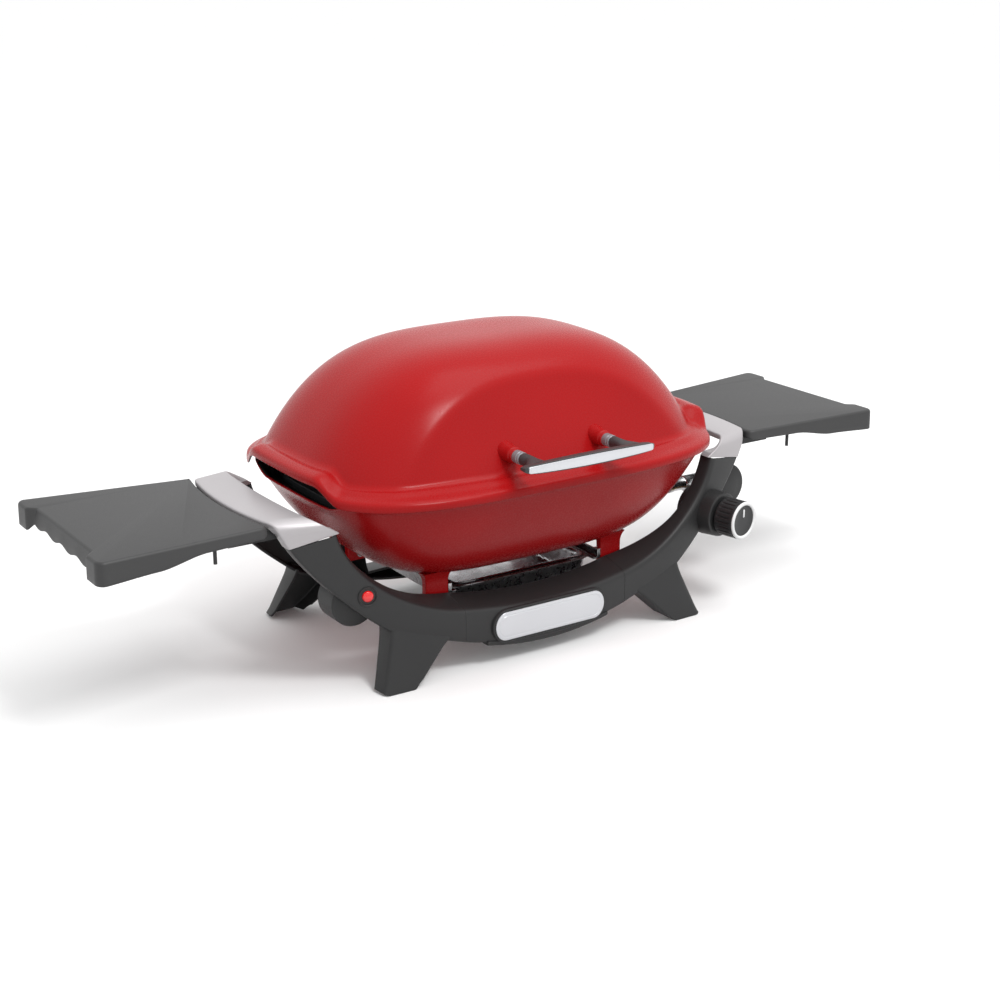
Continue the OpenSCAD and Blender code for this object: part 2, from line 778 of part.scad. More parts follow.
// Box of half size x by y that stands on height z
module pan_box(x, y, z, h) {
    translate([-x, -y, z]) cube([2 * x, 2 * y, h]);
}
module drip_pan() {
    color([0.85, 0.85, 0.87]) translate([0, frame_y, 0])
        difference() {
            union() {
                pan_box(pan_x - 8, pan_y - 8, pan_z + pan_t + 0.1, 33);
                pan_box(pan_x - 2, pan_y - 2, pan_rim_z + 0.2, 1);
            }
            pan_box(pan_x - 9.2, pan_y - 9.2, pan_z + pan_t + 1.3, 40);
        }
}

// ---- Valve and regulator ----
// Radius of the stem, and the room inside the valve for it
stem_r = 4;
// Where the gas reaches the burner tube
feed_x = 359;
// Ends and radius of the pipe from the regulator to the valve
outlet_a = [323, -112, 150];
outlet_b = [369, -83, 160];
outlet_r = 4;
module valve() {
    color(brass) translate([0, frame_y, 0]) {
        difference() {
            at_face(knob_x, knob_z) translate([0, 0, -48]) cylinder(r = 13, h = 50);
            at_face(knob_x, knob_z) translate([0, 0, -30]) cylinder(r = stem_r + fit, h = 40);
        }
        along_x([352, tube_y, tube_z], 7, 11);
        along_x([346, tube_y, tube_z], 3, 7);
    }
}
module gas_feed_tube() {
    color(steel) translate([0, frame_y, 0]) {
        bar([feed_x, tube_y, tube_z - 6.9], [feed_x, tube_y, 147], 3);
        bar([feed_x + 2, tube_y, 149], [324, -103, 145], 3);
    }
}
module valve_stem() {
    color(brass) translate([0, frame_y, 0])
        at_face(knob_x, knob_z) translate([0, 0, -26])
            cylinder(r = stem_r, h = 26 + collar_z + collar_l - 0.1);
}
module regulator_outlet() {
    color(brass) translate([0, frame_y, 0]) bar(outlet_a, outlet_b, outlet_r);
}
// Round body on its edge, with the inlet for a hose at the back
regulator_x = 399;
regulator_y = -90;
regulator_z = 157;
regulator_r = 35;
inlet_r = 7;
module regulator() {
    color(black) translate([regulator_x, frame_y + regulator_y, regulator_z]) rotate([-90, 0, 0]) {
        cylinder(r = regulator_r, h = 12);
        translate([0, 0, 12]) cylinder(r1 = regulator_r, r2 = regulator_r - 11, h = 12);
        translate([0, 0, 23]) difference() {
            cylinder(r = inlet_r + 4, h = 24);
            translate([0, 0, 6]) cylinder(r = inlet_r, h = 20);
        }
    }
}

// ---- Knob and button ----
// Sleeve on the stem, which slides as the knob is pushed
collar_r = 10;
collar_z = boss_h + knob_push + 3;
collar_l = 12;
module thrust_collar() {
    color(steel) translate([0, frame_y, 0]) at_face(knob_x, knob_z) difference() {
        translate([0, 0, collar_z]) cylinder(r = collar_r, h = collar_l);
        translate([0, 0, collar_z - 1]) cylinder(r = stem_r + fit, h = collar_l + 2);
    }
}
// Where the knob begins, clear of its boss, and its ribs
knob_gap = boss_h + knob_push + 1;
rib_w = 3;
ring_w = 6;
module knob() {
    color(black) translate([0, frame_y, 0]) at_face(knob_x, knob_z) translate([0, 0, knob_gap])
        difference() {
            union() {
                cylinder(r = knob_d / 2 - 1, h = knob_l);
                for (k = [0:23]) rotate([0, 0, 15 * k])
                    translate([knob_d / 2 - 2, -rib_w / 2, 3]) cube([2, rib_w, knob_l - 9]);
            }
            translate([0, 0, -1]) cylinder(r = collar_r + fit, h = collar_z + collar_l + 2 - knob_gap);
            translate([0, 0, knob_l - 1.5]) difference() {
                cylinder(r = knob_d / 2 + 1, h = 2);
                cylinder(r = knob_d / 2 - ring_w, h = 2);
            }
        }
}
module knob_ring() {
    color("white") translate([0, frame_y, 0]) at_face(knob_x, knob_z)
        translate([0, 0, knob_gap + knob_l - 1.5]) difference() {
            cylinder(r = knob_d / 2, h = 2);
            translate([0, 0, -1]) cylinder(r = knob_d / 2 - ring_w, h = 4);
        }
}
// Spark module inside the drum, held at its closed end
module igniter_module() {
    color(grey) along_y([drum_x, frame_y - 125.5, drum_z], 24, 30);
}
module igniter_button() {
    color([0.9, 0.05, 0.05]) translate([0, frame_y, 0]) at_face(button_x, button_z) {
        translate([0, 0, -6]) cylinder(r = button_d / 2, h = 9);
        translate([0, 0, 3 - eps]) cylinder(r1 = button_d / 2, r2 = button_d / 2 - 2, h = 3);
    }
}

// ---- Side tables ----
// Inner edge of the top, its height there, its rise to the tip and where its skirt turns in
table_x = 401;
table_z = 253;
table_rise = 4.5;
turn_x = 640;
// Axis and radius of the pins, and the place of the brackets that turn on them
pivot_x = 386;
pivot_z = 236;
pin_r = 4;
bracket_y = 104;
bracket_w = 10;
peg_x = 486;
peg_z = 218;
// Height of the top surface, and half depth of the top, at x
function top_z(x) = table_z + table_rise * (x - table_x) / (turn_x - table_x);
function half_dep(x) = mix(table_in, table_out, (x - table_x) / (turn_x - table_x)) / 2;
// Inner edge of the table, which follows the bow of the end handle
function inner_x(y) = bow_x + sqrt(pow(bow_r + 2, 2) - y * y);
// Plan with chamfered outer corners, grown by a distance
module table_plan(grow) {
    x1 = table_tip + grow;
    y0 = half_dep(table_x) + grow;
    y1 = half_dep(turn_x) + grow - 2;
    y2 = half_dep(turn_x) - 10;
    polygon(concat(
        [[x1 - 6, -y1], [x1, -y2], [x1, y2], [x1 - 6, y1]],
        [for (k = [12:-1:-12]) let (y = k / 12 * y0) [inner_x(y) - grow, y]]
    ));
}
// Side profile of the table: tilted top, lower edge deeper at the outer end
module table_side() {
    x0 = table_x - 10;
    skirt = [for (k = [0:8]) [500 + 8 * k, mix(238, 229, smooth(k / 8))]];
    rotate([90, 0, 0]) linear_extrude(400, center = true)
        polygon(concat(
            [[x0, 240]], skirt, [[600, 228], [table_tip, 226]],
            [[table_tip + 1, 258], [x0, top_z(x0)]]
        ));
}
// Space under the table top
module table_under() {
    x0 = table_x - 20;
    x1 = table_tip + 10;
    rotate([90, 0, 0]) linear_extrude(400, center = true)
        polygon([[x0, 200], [x1, 200], [x1, top_z(table_tip)], [x0, top_z(x0)]]);
}
module table() {
    color(grey) translate([0, frame_y, 0]) {
        difference() {
            intersection() {
                translate([0, 0, 220]) linear_extrude(50) table_plan(0);
                table_side();
            }
            intersection() {
                translate([0, 0, 210]) linear_extrude(60) table_plan(-table_t);
                translate([0, 0, -table_t]) table_under();
            }
            for (s = [-1, 1])
                translate([table_x - 5, s * bracket_y - bracket_w / 2 - 1, 220])
                    cube([20, bracket_w + 2, 29.2]);
            for (k = [-2, -1, 1, 2]) along_x([table_tip - 8, k * 58, 226], 9, 20);
        }
        for (y = [-80, 0, 80]) translate([inner_x(y) + 1, y - 1.5, 240]) cube([205, 3, 10.5]);
    }
}
module left_table() {
    mirror([1, 0, 0]) table();
}
module right_table() {
    table();
}
module table_brackets() {
    color(black) translate([0, frame_y, 0])
        for (s = [-1, 1]) difference() {
            table_bracket(s * bracket_y - bracket_w / 2);
            along_y([pivot_x, s * bracket_y - 20, pivot_z], pin_r + fit, 40);
        }
}
module table_bracket(y) {
    x = table_x + 13;
    along_y([pivot_x, y, pivot_z], 2 * pin_r, bracket_w);
    translate([pivot_x, y, pivot_z - 8]) cube([74, bracket_w, 16]);
    translate([x, y, pivot_z]) cube([50, bracket_w, top_z(x) - table_t - 0.2 - pivot_z]);
}
// Pins from the bores of the end handle through the brackets
module table_pins() {
    color(steel) translate([0, frame_y, 0]) {
        along_y([pivot_x, bracket_y - 12, pivot_z], pin_r, 141 - bracket_y);
        along_y([pivot_x, -129, pivot_z], pin_r, 141 - bracket_y);
    }
}
// Pegs that hang under the top
module table_pegs() {
    color(black) translate([0, frame_y, 0])
        for (y = [-127, 127]) translate([peg_x, y, peg_z])
            cylinder(r = 2.5, h = top_z(peg_x) - table_t - 0.1 - peg_z);
}
module left_table_brackets() {
    mirror([1, 0, 0]) table_brackets();
}
module right_table_brackets() {
    table_brackets();
}
module left_table_pins() {
    mirror([1, 0, 0]) table_pins();
}
module right_table_pins() {
    table_pins();
}
module left_table_pegs() {
    mirror([1, 0, 0]) table_pegs();
}
module right_table_pegs() {
    table_pegs();
}

// ---- Which pieces are drawn ----
front_beam();
rear_beam();
front_left_arm();
front_right_arm();
rear_left_arm();
rear_right_arm();
left_end_handle();
right_end_handle();
nameplate();
post_bolts();
cookbox();
cookbox_posts();
hinge_brackets();
hinge_pins();
hinge_lugs();
lid();
handle_bosses();
handle_ferrules();
handle_grip();
handle_insert();
burner();
venturi();
burner_posts();
igniter_electrode();
left_grate();
right_grate();
catch_pan_rails();
catch_pan();
drip_pan();
valve();
valve_stem();
gas_feed_tube();
regulator();
regulator_outlet();
thrust_collar();
knob();
knob_ring();
igniter_module();
igniter_button();
left_table();
right_table();
left_table_brackets();
right_table_brackets();
left_table_pins();
right_table_pins();
left_table_pegs();
right_table_pegs();
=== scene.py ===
"""Looks of a tabletop gas barbecue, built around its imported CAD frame.

Shapes are worked out in millimetres from the middle of the grill on the ground,
and place() turns them into metres in the frame's own axes.
"""

import math

import bmesh
import bpy
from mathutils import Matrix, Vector


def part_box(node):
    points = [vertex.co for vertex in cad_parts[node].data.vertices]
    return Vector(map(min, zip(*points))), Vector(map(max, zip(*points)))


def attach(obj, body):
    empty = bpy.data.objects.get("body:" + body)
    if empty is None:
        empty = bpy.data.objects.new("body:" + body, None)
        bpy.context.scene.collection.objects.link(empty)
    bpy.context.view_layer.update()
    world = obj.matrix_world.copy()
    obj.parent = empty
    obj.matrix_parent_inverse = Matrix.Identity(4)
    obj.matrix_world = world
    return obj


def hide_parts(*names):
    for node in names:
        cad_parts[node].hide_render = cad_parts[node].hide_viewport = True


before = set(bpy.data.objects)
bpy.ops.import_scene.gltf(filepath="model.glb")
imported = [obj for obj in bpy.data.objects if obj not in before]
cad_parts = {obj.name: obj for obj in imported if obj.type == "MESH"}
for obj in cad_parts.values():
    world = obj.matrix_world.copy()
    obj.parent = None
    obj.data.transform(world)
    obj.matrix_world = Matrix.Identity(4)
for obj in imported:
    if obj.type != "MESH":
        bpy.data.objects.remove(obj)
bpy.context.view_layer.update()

MM = 0.001


# ---- Camera: first, because everything is judged through it ----


def add_camera():
    """A camera at the viewing angle of a product picture: from the front, a little to the left."""
    azimuth = math.radians(-33.49)
    elevation = math.radians(18.12)
    distance = 2.5916
    target = Vector((0.0321, 0.018, 0.1755))
    back = Vector((
        math.sin(azimuth) * math.cos(elevation),
        -math.cos(azimuth) * math.cos(elevation),
        math.sin(elevation),
    ))
    data = bpy.data.cameras.new("camera")
    data.sensor_width = 36.0
    data.lens = 62.43
    camera = bpy.data.objects.new("camera", data)
    camera.location = target + back * distance
    camera.rotation_mode = "QUATERNION"
    camera.rotation_quaternion = (-back).to_track_quat("-Z", "Y")
    bpy.context.scene.collection.objects.link(camera)
    bpy.context.scene.camera = camera


add_camera()


# ---- Where things are, from the frame ----


def corners_mm(node):
    """Lowest and highest corner of a CAD node in millimetres, with y from the middle of the cookbox."""
    low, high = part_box(node)
    shift = Vector((0, MIDDLE_Y, 0))
    return (low - shift) / MM, (high - shift) / MM


def middle_y():
    low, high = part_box("cookbox")
    return (low.y + high.y) / 2


MIDDLE_Y = middle_y()


def place(x, y, z):
    """Millimetres from the middle of the grill, as a point in metres in the frame's axes."""
    return Vector((x * MM, y * MM + MIDDLE_Y, z * MM))


# ---- Helper functions ----


def smooth(u):
    """0 below 0, 1 above 1 and a smooth step between them."""
    v = min(1.0, max(0.0, u))
    return v * v * (3 - 2 * v)


def mix(a, b, t):
    return a + (b - a) * t


def bezier(a, b, c, d, t):
    """Point of a cubic curve between a and d, with handles b and c."""
    s = 1 - t
    return tuple(
        a[i] * s**3 + 3 * b[i] * t * s * s + 3 * c[i] * t * t * s + d[i] * t**3 for i in range(len(a))
    )


def rim_point(phi, a, b, p):
    """Point of a superellipse with half axes a and b, in direction phi."""
    c, s = math.cos(phi), math.sin(phi)
    r = ((abs(c) / a) ** p + (abs(s) / b) ** p) ** (-1 / p)
    return r * c, r * s


def circle_angles(count):
    return [2 * math.pi * k / count for k in range(count)]


def soft_ring(corners, radii, steps=4):
    """Closed ring through 3-D corners, each rounded off over its radius."""
    ring = []
    count = len(corners)
    for i, corner in enumerate(corners):
        here = Vector(corner)
        before = Vector(corners[i - 1])
        after = Vector(corners[(i + 1) % count])
        reach = min(radii[i], 0.49 * (before - here).length, 0.49 * (after - here).length)
        start = here + (before - here).normalized() * reach
        end = here + (after - here).normalized() * reach
        for k in range(steps + 1):
            t = k / steps
            ring.append(tuple(start * (1 - t) ** 2 + here * 2 * t * (1 - t) + end * t * t))
    return ring


def loft(rings, cap_start=True, cap_end=True, loop=False):
    """Points and faces of a skin through closed rings of equal length."""
    count = len(rings[0])
    points = [p for ring in rings for p in ring]
    faces = []
    for i in range(len(rings) if loop else len(rings) - 1):
        a, b = i * count, (i + 1) % len(rings) * count
        for j in range(count):
            k = (j + 1) % count
            faces.append((a + j, a + k, b + k, b + j))
    if cap_start and not loop:
        faces.append(tuple(reversed(range(count))))
    if cap_end and not loop:
        faces.append(tuple(range(len(points) - count, len(points))))
    return points, faces


def lathe(profile, centre, axis, steps=64, radius_at=None):
    """Skin of revolution: profile is (radius, distance along the axis), a radius of 0 closing it."""
    along = Vector(axis).normalized()
    side = along.cross(Vector((0, 0, 1)))
    side = side.normalized() if side.length > 0.01 else Vector((1, 0, 0))
    other = along.cross(side)
    rings = []
    for radius, distance in profile:
        ring = []
        for turn in circle_angles(steps):
            r = radius_at(turn, radius, distance) if radius_at else radius
            offset = side * math.cos(turn) * r + other * math.sin(turn) * r
            ring.append(tuple(Vector(centre) + along * distance + offset))
        rings.append(ring)
    return loft(rings)


def joined(*skins):
    """Several skins as one."""
    points, faces = [], []
    for some_points, some_faces in skins:
        base = len(points)
        points += some_points
        faces += [tuple(base + i for i in face) for face in some_faces]
    return points, faces


def mirrored(skin, x=1, y=1):
    points, faces = skin
    return [(p[0] * x, p[1] * y, p[2]) for p in points], faces


def rounded_box(low, high, radius, steps=3):
    """Box with its upright edges rounded and its other edges left sharp."""
    rings = []
    for z in (low[2], high[2]):
        corners = [
            (low[0], low[1], z), (high[0], low[1], z), (high[0], high[1], z), (low[0], high[1], z),
        ]
        rings.append(soft_ring(corners, [radius] * 4, steps))
    return loft(rings)


def add_piece(name, skin, body, finish, stands_for=(), bevel=0.0, sharp=30, inside=None):
    """Makes a mesh object of a skin, gives it its finish and puts it on its body.

    inside is (finish, test): the faces whose middle passes the test get that second finish.
    """
    points, faces = skin
    mesh = bpy.data.meshes.new(name)
    mesh.from_pydata([place(*p) for p in points], [], faces)
    cleaned = bmesh.new()
    cleaned.from_mesh(mesh)
    bmesh.ops.remove_doubles(cleaned, verts=cleaned.verts, dist=0.004 * MM)
    bmesh.ops.recalc_face_normals(cleaned, faces=cleaned.faces)
    cleaned.to_mesh(mesh)
    cleaned.free()
    mesh.polygons.foreach_set("use_smooth", [True] * len(mesh.polygons))
    piece = bpy.data.objects.new(name, mesh)
    bpy.context.scene.collection.objects.link(piece)
    mesh.materials.append(finish)
    if inside:
        mesh.materials.append(inside[0])
        for polygon in mesh.polygons:
            centre = (polygon.center - Vector((0, MIDDLE_Y, 0))) / MM
            polygon.material_index = 1 if inside[1](centre, polygon.normal) else 0
    if bevel:
        add_bevel(piece, bevel)
    else:
        mesh.set_sharp_from_angle(angle=math.radians(sharp))
    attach(piece, body)
    if stands_for:
        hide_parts(*stands_for)
    return piece


def add_bevel(piece, width):
    """Rounds every edge sharper than 35 degrees, keeping the flat faces flat."""
    bevel = piece.modifiers.new("edges", "BEVEL")
    bevel.width = width * MM
    bevel.segments = 3
    bevel.limit_method = "ANGLE"
    bevel.angle_limit = math.radians(35)
    bevel.harden_normals = True
    bevel.use_clamp_overlap = True


def dress(node, finish, bevel=0.0):
    """Gives a CAD node its finish and, if asked, rounded edges."""
    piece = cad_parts[node]
    piece.data.materials.clear()
    piece.data.materials.append(finish)
    if bevel:
        weld = piece.modifiers.new("weld", "WELD")
        weld.merge_threshold = 0.002 * MM
        add_bevel(piece, bevel)


# ---- Finishes ----


def nodes_of(name):
    finish = bpy.data.materials.new(name)
    finish.use_nodes = True
    tree = finish.node_tree
    return finish, tree, tree.nodes["Principled BSDF"]


def noise(tree, scale, detail=3.0, stretch=None):
    """Noise texture on the piece's own coordinates, stretched along an axis if asked."""
    place_node = tree.nodes.new("ShaderNodeTexCoord")
    texture = tree.nodes.new("ShaderNodeTexNoise")
    texture.inputs["Scale"].default_value = scale
    texture.inputs["Detail"].default_value = detail
    if stretch:
        mapping = tree.nodes.new("ShaderNodeMapping")
        mapping.inputs["Scale"].default_value = stretch
        tree.links.new(place_node.outputs["Object"], mapping.inputs["Vector"])
        tree.links.new(mapping.outputs["Vector"], texture.inputs["Vector"])
    else:
        tree.links.new(place_node.outputs["Object"], texture.inputs["Vector"])
    return texture.outputs["Fac"]


def ranged(tree, value, low, high, from_low=0.3, from_high=0.7):
    """The value, mapped onto low to high."""
    node = tree.nodes.new("ShaderNodeMapRange")
    node.inputs["From Min"].default_value = from_low
    node.inputs["From Max"].default_value = from_high
    node.inputs["To Min"].default_value = low
    node.inputs["To Max"].default_value = high
    tree.links.new(value, node.inputs["Value"])
    return node.outputs["Result"]


def blended(tree, factor, first, second):
    """Colour between two colours, or between a socket and a colour."""
    node = tree.nodes.new("ShaderNodeMix")
    node.data_type = "RGBA"
    tree.links.new(factor, node.inputs["Factor"])
    for socket, value in ((node.inputs[6], first), (node.inputs[7], second)):
        if isinstance(value, tuple):
            socket.default_value = (*value, 1)
        else:
            tree.links.new(value, socket)
    return node.outputs[2]


def surface(
    name, colour, roughness, metallic=0.0, tint=0.08, grain=500.0, bump=0.08, depth=0.15,
    spread=0.06, stretch=None, edge_highlight=None, coat=0.0, coat_roughness=0.1, gleam=0.5,
):
    """A finish with uneven colour and gloss, a grained surface and, if asked, a painted highlight that
    lightens its sharp edges.
    """
    finish, tree, shader = nodes_of(name)
    shader.inputs["Metallic"].default_value = metallic
    shader.inputs["Specular IOR Level"].default_value = gleam
    shader.inputs["Coat Weight"].default_value = coat
    shader.inputs["Coat Roughness"].default_value = coat_roughness
    cloud = noise(tree, 9.0, 4.0)
    darker = tuple(c * (1 - tint) for c in colour)
    lighter = tuple(min(1.0, c * (1 + tint)) for c in colour)
    tone = blended(tree, ranged(tree, cloud, 0, 1), darker, lighter)
    # Painted highlight: edges that pointiness finds sharp are lightened towards the given colour,
    # standing in for light caught on them.
    if edge_highlight:
        geometry = tree.nodes.new("ShaderNodeNewGeometry")
        edge = ranged(tree, geometry.outputs["Pointiness"], 0, 0.7, 0.53, 0.62)
        tone = blended(tree, edge, tone, edge_highlight)
    tree.links.new(tone, shader.inputs["Base Color"])
    fine = noise(tree, grain, 2.0, stretch)
    gloss = ranged(tree, fine, roughness - spread, roughness + spread)
    tree.links.new(gloss, shader.inputs["Roughness"])
    relief = tree.nodes.new("ShaderNodeBump")
    relief.inputs["Strength"].default_value = bump
    relief.inputs["Distance"].default_value = depth * MM
    tree.links.new(fine, relief.inputs["Height"])
    tree.links.new(relief.outputs["Normal"], shader.inputs["Normal"])
    return finish


FINISH = {
    "red": surface(
        "red_enamel", (0.325, 0.0055, 0.0065), 0.27, tint=0.03, grain=420, bump=0.06,
        spread=0.03, gleam=0.15,
    ),
    "cast_inside": surface("cast_inside", (0.022, 0.021, 0.021), 0.6, tint=0.3, grain=120, bump=0.5),
    "frame": surface(
        "frame_plastic", (0.021, 0.021, 0.0215), 0.46, grain=900, bump=0.22,
        # The frame's sharp edges carry a painted highlight.
        edge_highlight=(0.05, 0.05, 0.05), gleam=0.35,
    ),
    "table": surface(
        "table_plastic", (0.031, 0.031, 0.0315), 0.50, tint=0.04, grain=1100, bump=0.3, gleam=0.5,
    ),
    "silver": surface(
        "silver_plastic", (0.42, 0.40, 0.41), 0.40, metallic=0.3, tint=0.03, grain=1500, bump=0.05,
    ),
    "grip": surface("grip_plastic", (0.028, 0.029, 0.031), 0.45, grain=1000, bump=0.15),
    "knob": surface("knob_plastic", (0.020, 0.020, 0.021), 0.42, grain=900, bump=0.1, gleam=0.35),
    "white": surface("ring_white", (0.80, 0.80, 0.80), 0.4, tint=0.02, grain=900, bump=0.05),
    "button": surface(
        "button_red", (0.80, 0.006, 0.006), 0.18, tint=0.03, grain=300, bump=0.02, coat=0.6,
    ),
    "grey": surface("button_grey", (0.10, 0.10, 0.11), 0.5, grain=900, bump=0.15),
    "bright": surface(
        "bright_aluminium", (0.60, 0.61, 0.635), 0.34, metallic=0.6, tint=0.015, grain=260, bump=0.03,
        depth=0.05, spread=0.03, stretch=(0.05, 1, 1),
    ),
    "ferrule": surface("ferrule_metal", (0.26, 0.27, 0.29), 0.38, metallic=0.5, grain=700, bump=0.08),
    "steel": surface(
        "steel", (0.55, 0.55, 0.56), 0.24, metallic=1.0, tint=0.05, grain=160, bump=0.06,
        stretch=(1, 14, 14),
    ),
    "pan": surface(
        "pan_metal", (0.50, 0.50, 0.51), 0.3, metallic=1.0, tint=0.06, grain=200, bump=0.04, depth=0.3,
    ),
    "foil": surface(
        "foil", (0.72, 0.72, 0.74), 0.26, metallic=1.0, tint=0.03, grain=30, bump=0.12, depth=0.4,
    ),
    "brass": surface("brass", (0.62, 0.42, 0.18), 0.3, metallic=1.0, tint=0.08, grain=300, bump=0.1),
    "iron": surface("cast_iron", (0.035, 0.035, 0.037), 0.42, tint=0.2, grain=350, bump=0.5, depth=0.3),
}


# ---- Lid ----

LID_LOW, LID_HIGH = corners_mm("lid")
VENT_REACH = 6.0
VENT_RISE = 25.0
FLANGE_A = LID_HIGH.x - VENT_REACH
FLANGE_B = LID_HIGH.y
FLANGE_P = 3.6
DOME_A = FLANGE_A - 15.0
DOME_B = FLANGE_B - 17.5
DOME_P = 3.1
DOME_H = 160.0
DOME_FOOT = LID_HIGH.z - DOME_H
DOME_MID = 5.0
DOME_CURVE = 3.61
DOME_SHOULDER = 0.943
SHELL = 4.0
FILLET = 7.0
CREASE_ROUND = 1.0
LID_COLUMNS = 288
# Foot of the hollowed front face, its slope and its bend upward, and its bend across
# near the foot and everywhere
SCOOP_FOOT = -199.5
SCOOP_SLOPE = 0.585
SCOOP_HOLLOW = -0.00059
SCOOP_LOW = 0.00068
SCOOP_HIGH = -0.000166


def vent(x, y):
    """1 over the vents at the two ends, 0 along the front and the back."""
    along = (140 + y) / 38 if y < 0 else (125 - y) / 55
    return smooth(along) * smooth((abs(x) - 240) / 40)


def dome_z(r):
    return DOME_FOOT + DOME_H * (1 - min(1.0, r) ** DOME_CURVE) ** DOME_SHOULDER


def dome_ratio(z):
    return (1 - ((z - DOME_FOOT) / DOME_H) ** (1 / DOME_SHOULDER)) ** (1 / DOME_CURVE)


def scoop_y(x, z):
    """Y of the hollowed front face at a place."""
    height = z - DOME_FOOT
    across = SCOOP_LOW * max(0.0, 1 - height / 125) + SCOOP_HIGH
    return SCOOP_FOOT + SCOOP_SLOPE * height + SCOOP_HOLLOW * height * height + across * x * x


def foot_z(phi):
    x, y = rim_point(phi, FLANGE_A, FLANGE_B, FLANGE_P)
    return DOME_FOOT + 3 + 17 * vent(x, y)


def dome_raw(phi, r):
    x, y = rim_point(phi, DOME_A, DOME_B, DOME_P)
    return x * r, y * r + DOME_MID, dome_z(r)


def dome_point(phi, r):
    """Point of the dome, pushed back to the hollowed front, with the crease between them rounded."""
    x, y, z = dome_raw(phi, r)
    if math.sin(phi) < 0:
        front = scoop_y(x, z)
        near = max(0.0, 1 - abs(y - front) / (4 * CREASE_ROUND))
        y = max(y, front) + CREASE_ROUND * near * near
    return x, y, z


def crease_ratio(phi, low, high):
    """Where the dome meets the hollowed front, found by halving, or high if it doesn't."""
    def ahead(r):
        x, y, z = dome_raw(phi, r)
        return y - scoop_y(x, z)

    if math.sin(phi) >= 0 or ahead(high) > 0:
        return high
    a, b = low, high
    for _ in range(24):
        middle = (a + b) / 2
        if ahead(middle) > 0:
            a = middle
        else:
            b = middle
    return (a + b) / 2


FOOT_HEIGHTS = (9, 7, 5.2, 3.8, 2.6, 1.7, 1.0, 0.45, 0.12, 0)
# Share of the way across the flange, and how far its surface has dropped there
FLANGE_PROFILE = (
    (0.12, 0.6), (0.3, 1.6), (0.5, 2.8), (0.68, 4.0), (0.82, 5.2), (0.9, 6.4), (0.95, 7.8), (0.98, 9.4),
    (1.0, 11.6), (1.0, 17.2), (0.985, 17.9), (0.96, 18.0), (0.88, 18.0), (0.85, 17.4), (0.84, 16.0),
    (0.82, 10.5), (0.7, 8.4), (0.4, 6.8), (0.1, 5.6),
)


def flange_point(phi, k, drop, start):
    """Point of the flange: k from 0 at the fillet's end to 1 at the lip."""
    x, y = rim_point(phi, FLANGE_A, FLANGE_B, FLANGE_P)
    w = vent(x, y)
    x += math.copysign(VENT_REACH * w, x)
    level = DOME_FOOT + VENT_RISE * w - drop
    if drop < 5:
        level = mix(start[2], level, smooth(k / 0.4))
    return mix(start[0], x, k), mix(start[1], y, k), level


def lid_column(phi):
    """Points of the lid along one direction, from the top down the outside to the lip."""
    foot = foot_z(phi)
    low_ratio = dome_ratio(foot + FOOT_HEIGHTS[0])
    crease = crease_ratio(phi, 0.15, low_ratio)
    crease = min(crease, low_ratio * 0.985)
    above = [crease * (1 - (1 - k / 30) ** 1.7) for k in range(30)]
    below = [mix(crease, low_ratio, (k / 24) ** 1.5) for k in range(24)]
    column = [dome_point(phi, r) for r in above + below]
    edge_x, edge_y = rim_point(phi, FLANGE_A, FLANGE_B, FLANGE_P)
    last = dome_point(phi, dome_ratio(foot))
    outward = Vector((edge_x - last[0], edge_y - last[1])).normalized()
    for height in FOOT_HEIGHTS:
        x, y, _ = dome_point(phi, dome_ratio(foot + height))
        rise = max(0.0, FILLET - height)
        push = FILLET - math.sqrt(FILLET * FILLET - rise * rise)
        column.append((x + outward.x * push, y + outward.y * push, foot + height))
    return column


def lid_skin():
    columns = []
    for phi in circle_angles(LID_COLUMNS):
        column = lid_column(phi)
        start = column[-1]
        rim = [flange_point(phi, k, drop, start) for k, drop in FLANGE_PROFILE]
        shrink = 1 - SHELL / DOME_A
        inner = [
            (x * shrink, DOME_MID + (y - DOME_MID) * (1 - SHELL / DOME_B), z - SHELL)
            for x, y, z in reversed(column[:-6:2])
        ]
        columns.append(column + rim + inner)
    rings = [list(ring) for ring in zip(*columns)]
    return loft(rings, cap_start=False, cap_end=False)


def faces_in(centre_z, steepest=1.1):
    """Test for faces that look towards a point inside, and whose normals rise less than steepest."""
    def test(centre, normal):
        return normal.z < steepest and normal.dot(centre - Vector((0, 0, centre_z))) < 0
    return test


add_piece(
    "lid_casting", lid_skin(), "lid", FINISH["red"], ["lid"], sharp=75,
    inside=(FINISH["cast_inside"], faces_in(200, 0.15)),
)


# ---- Cookbox ----

BOX_LOW, BOX_HIGH = corners_mm("cookbox")
BOX_A = BOX_HIGH.x
BOX_B = BOX_HIGH.y
BOX_P = 3.8
RIM_Z = BOX_HIGH.z
BOX_H = RIM_Z - BOX_LOW.z
BOX_WALL = 5.0
BOX_CURVE = 5
BOX_SHOULDER = 1.136
GRATE_Z = corners_mm("right_grate")[0].z
LEDGE = 24.0
DRAIN_RATIO = 16.0 / BOX_A
BOX_COLUMNS = 240


def box_z(r):
    return RIM_Z - BOX_H * (1 - r**BOX_CURVE) ** BOX_SHOULDER


def box_ratio(z):
    return (1 - ((RIM_Z - z) / BOX_H) ** (1 / BOX_SHOULDER)) ** (1 / BOX_CURVE)


def box_ring(r, inset=0.0, lift=0.0, level=None):
    ring = []
    for phi in circle_angles(BOX_COLUMNS):
        x, y = rim_point(phi, BOX_A - inset, BOX_B - inset, BOX_P)
        dip = 9 * vent(x, y) * smooth((r - 0.94) / 0.06)
        ring.append((x * r, y * r, (box_z(r) if level is None else level) + lift - dip))
    return ring


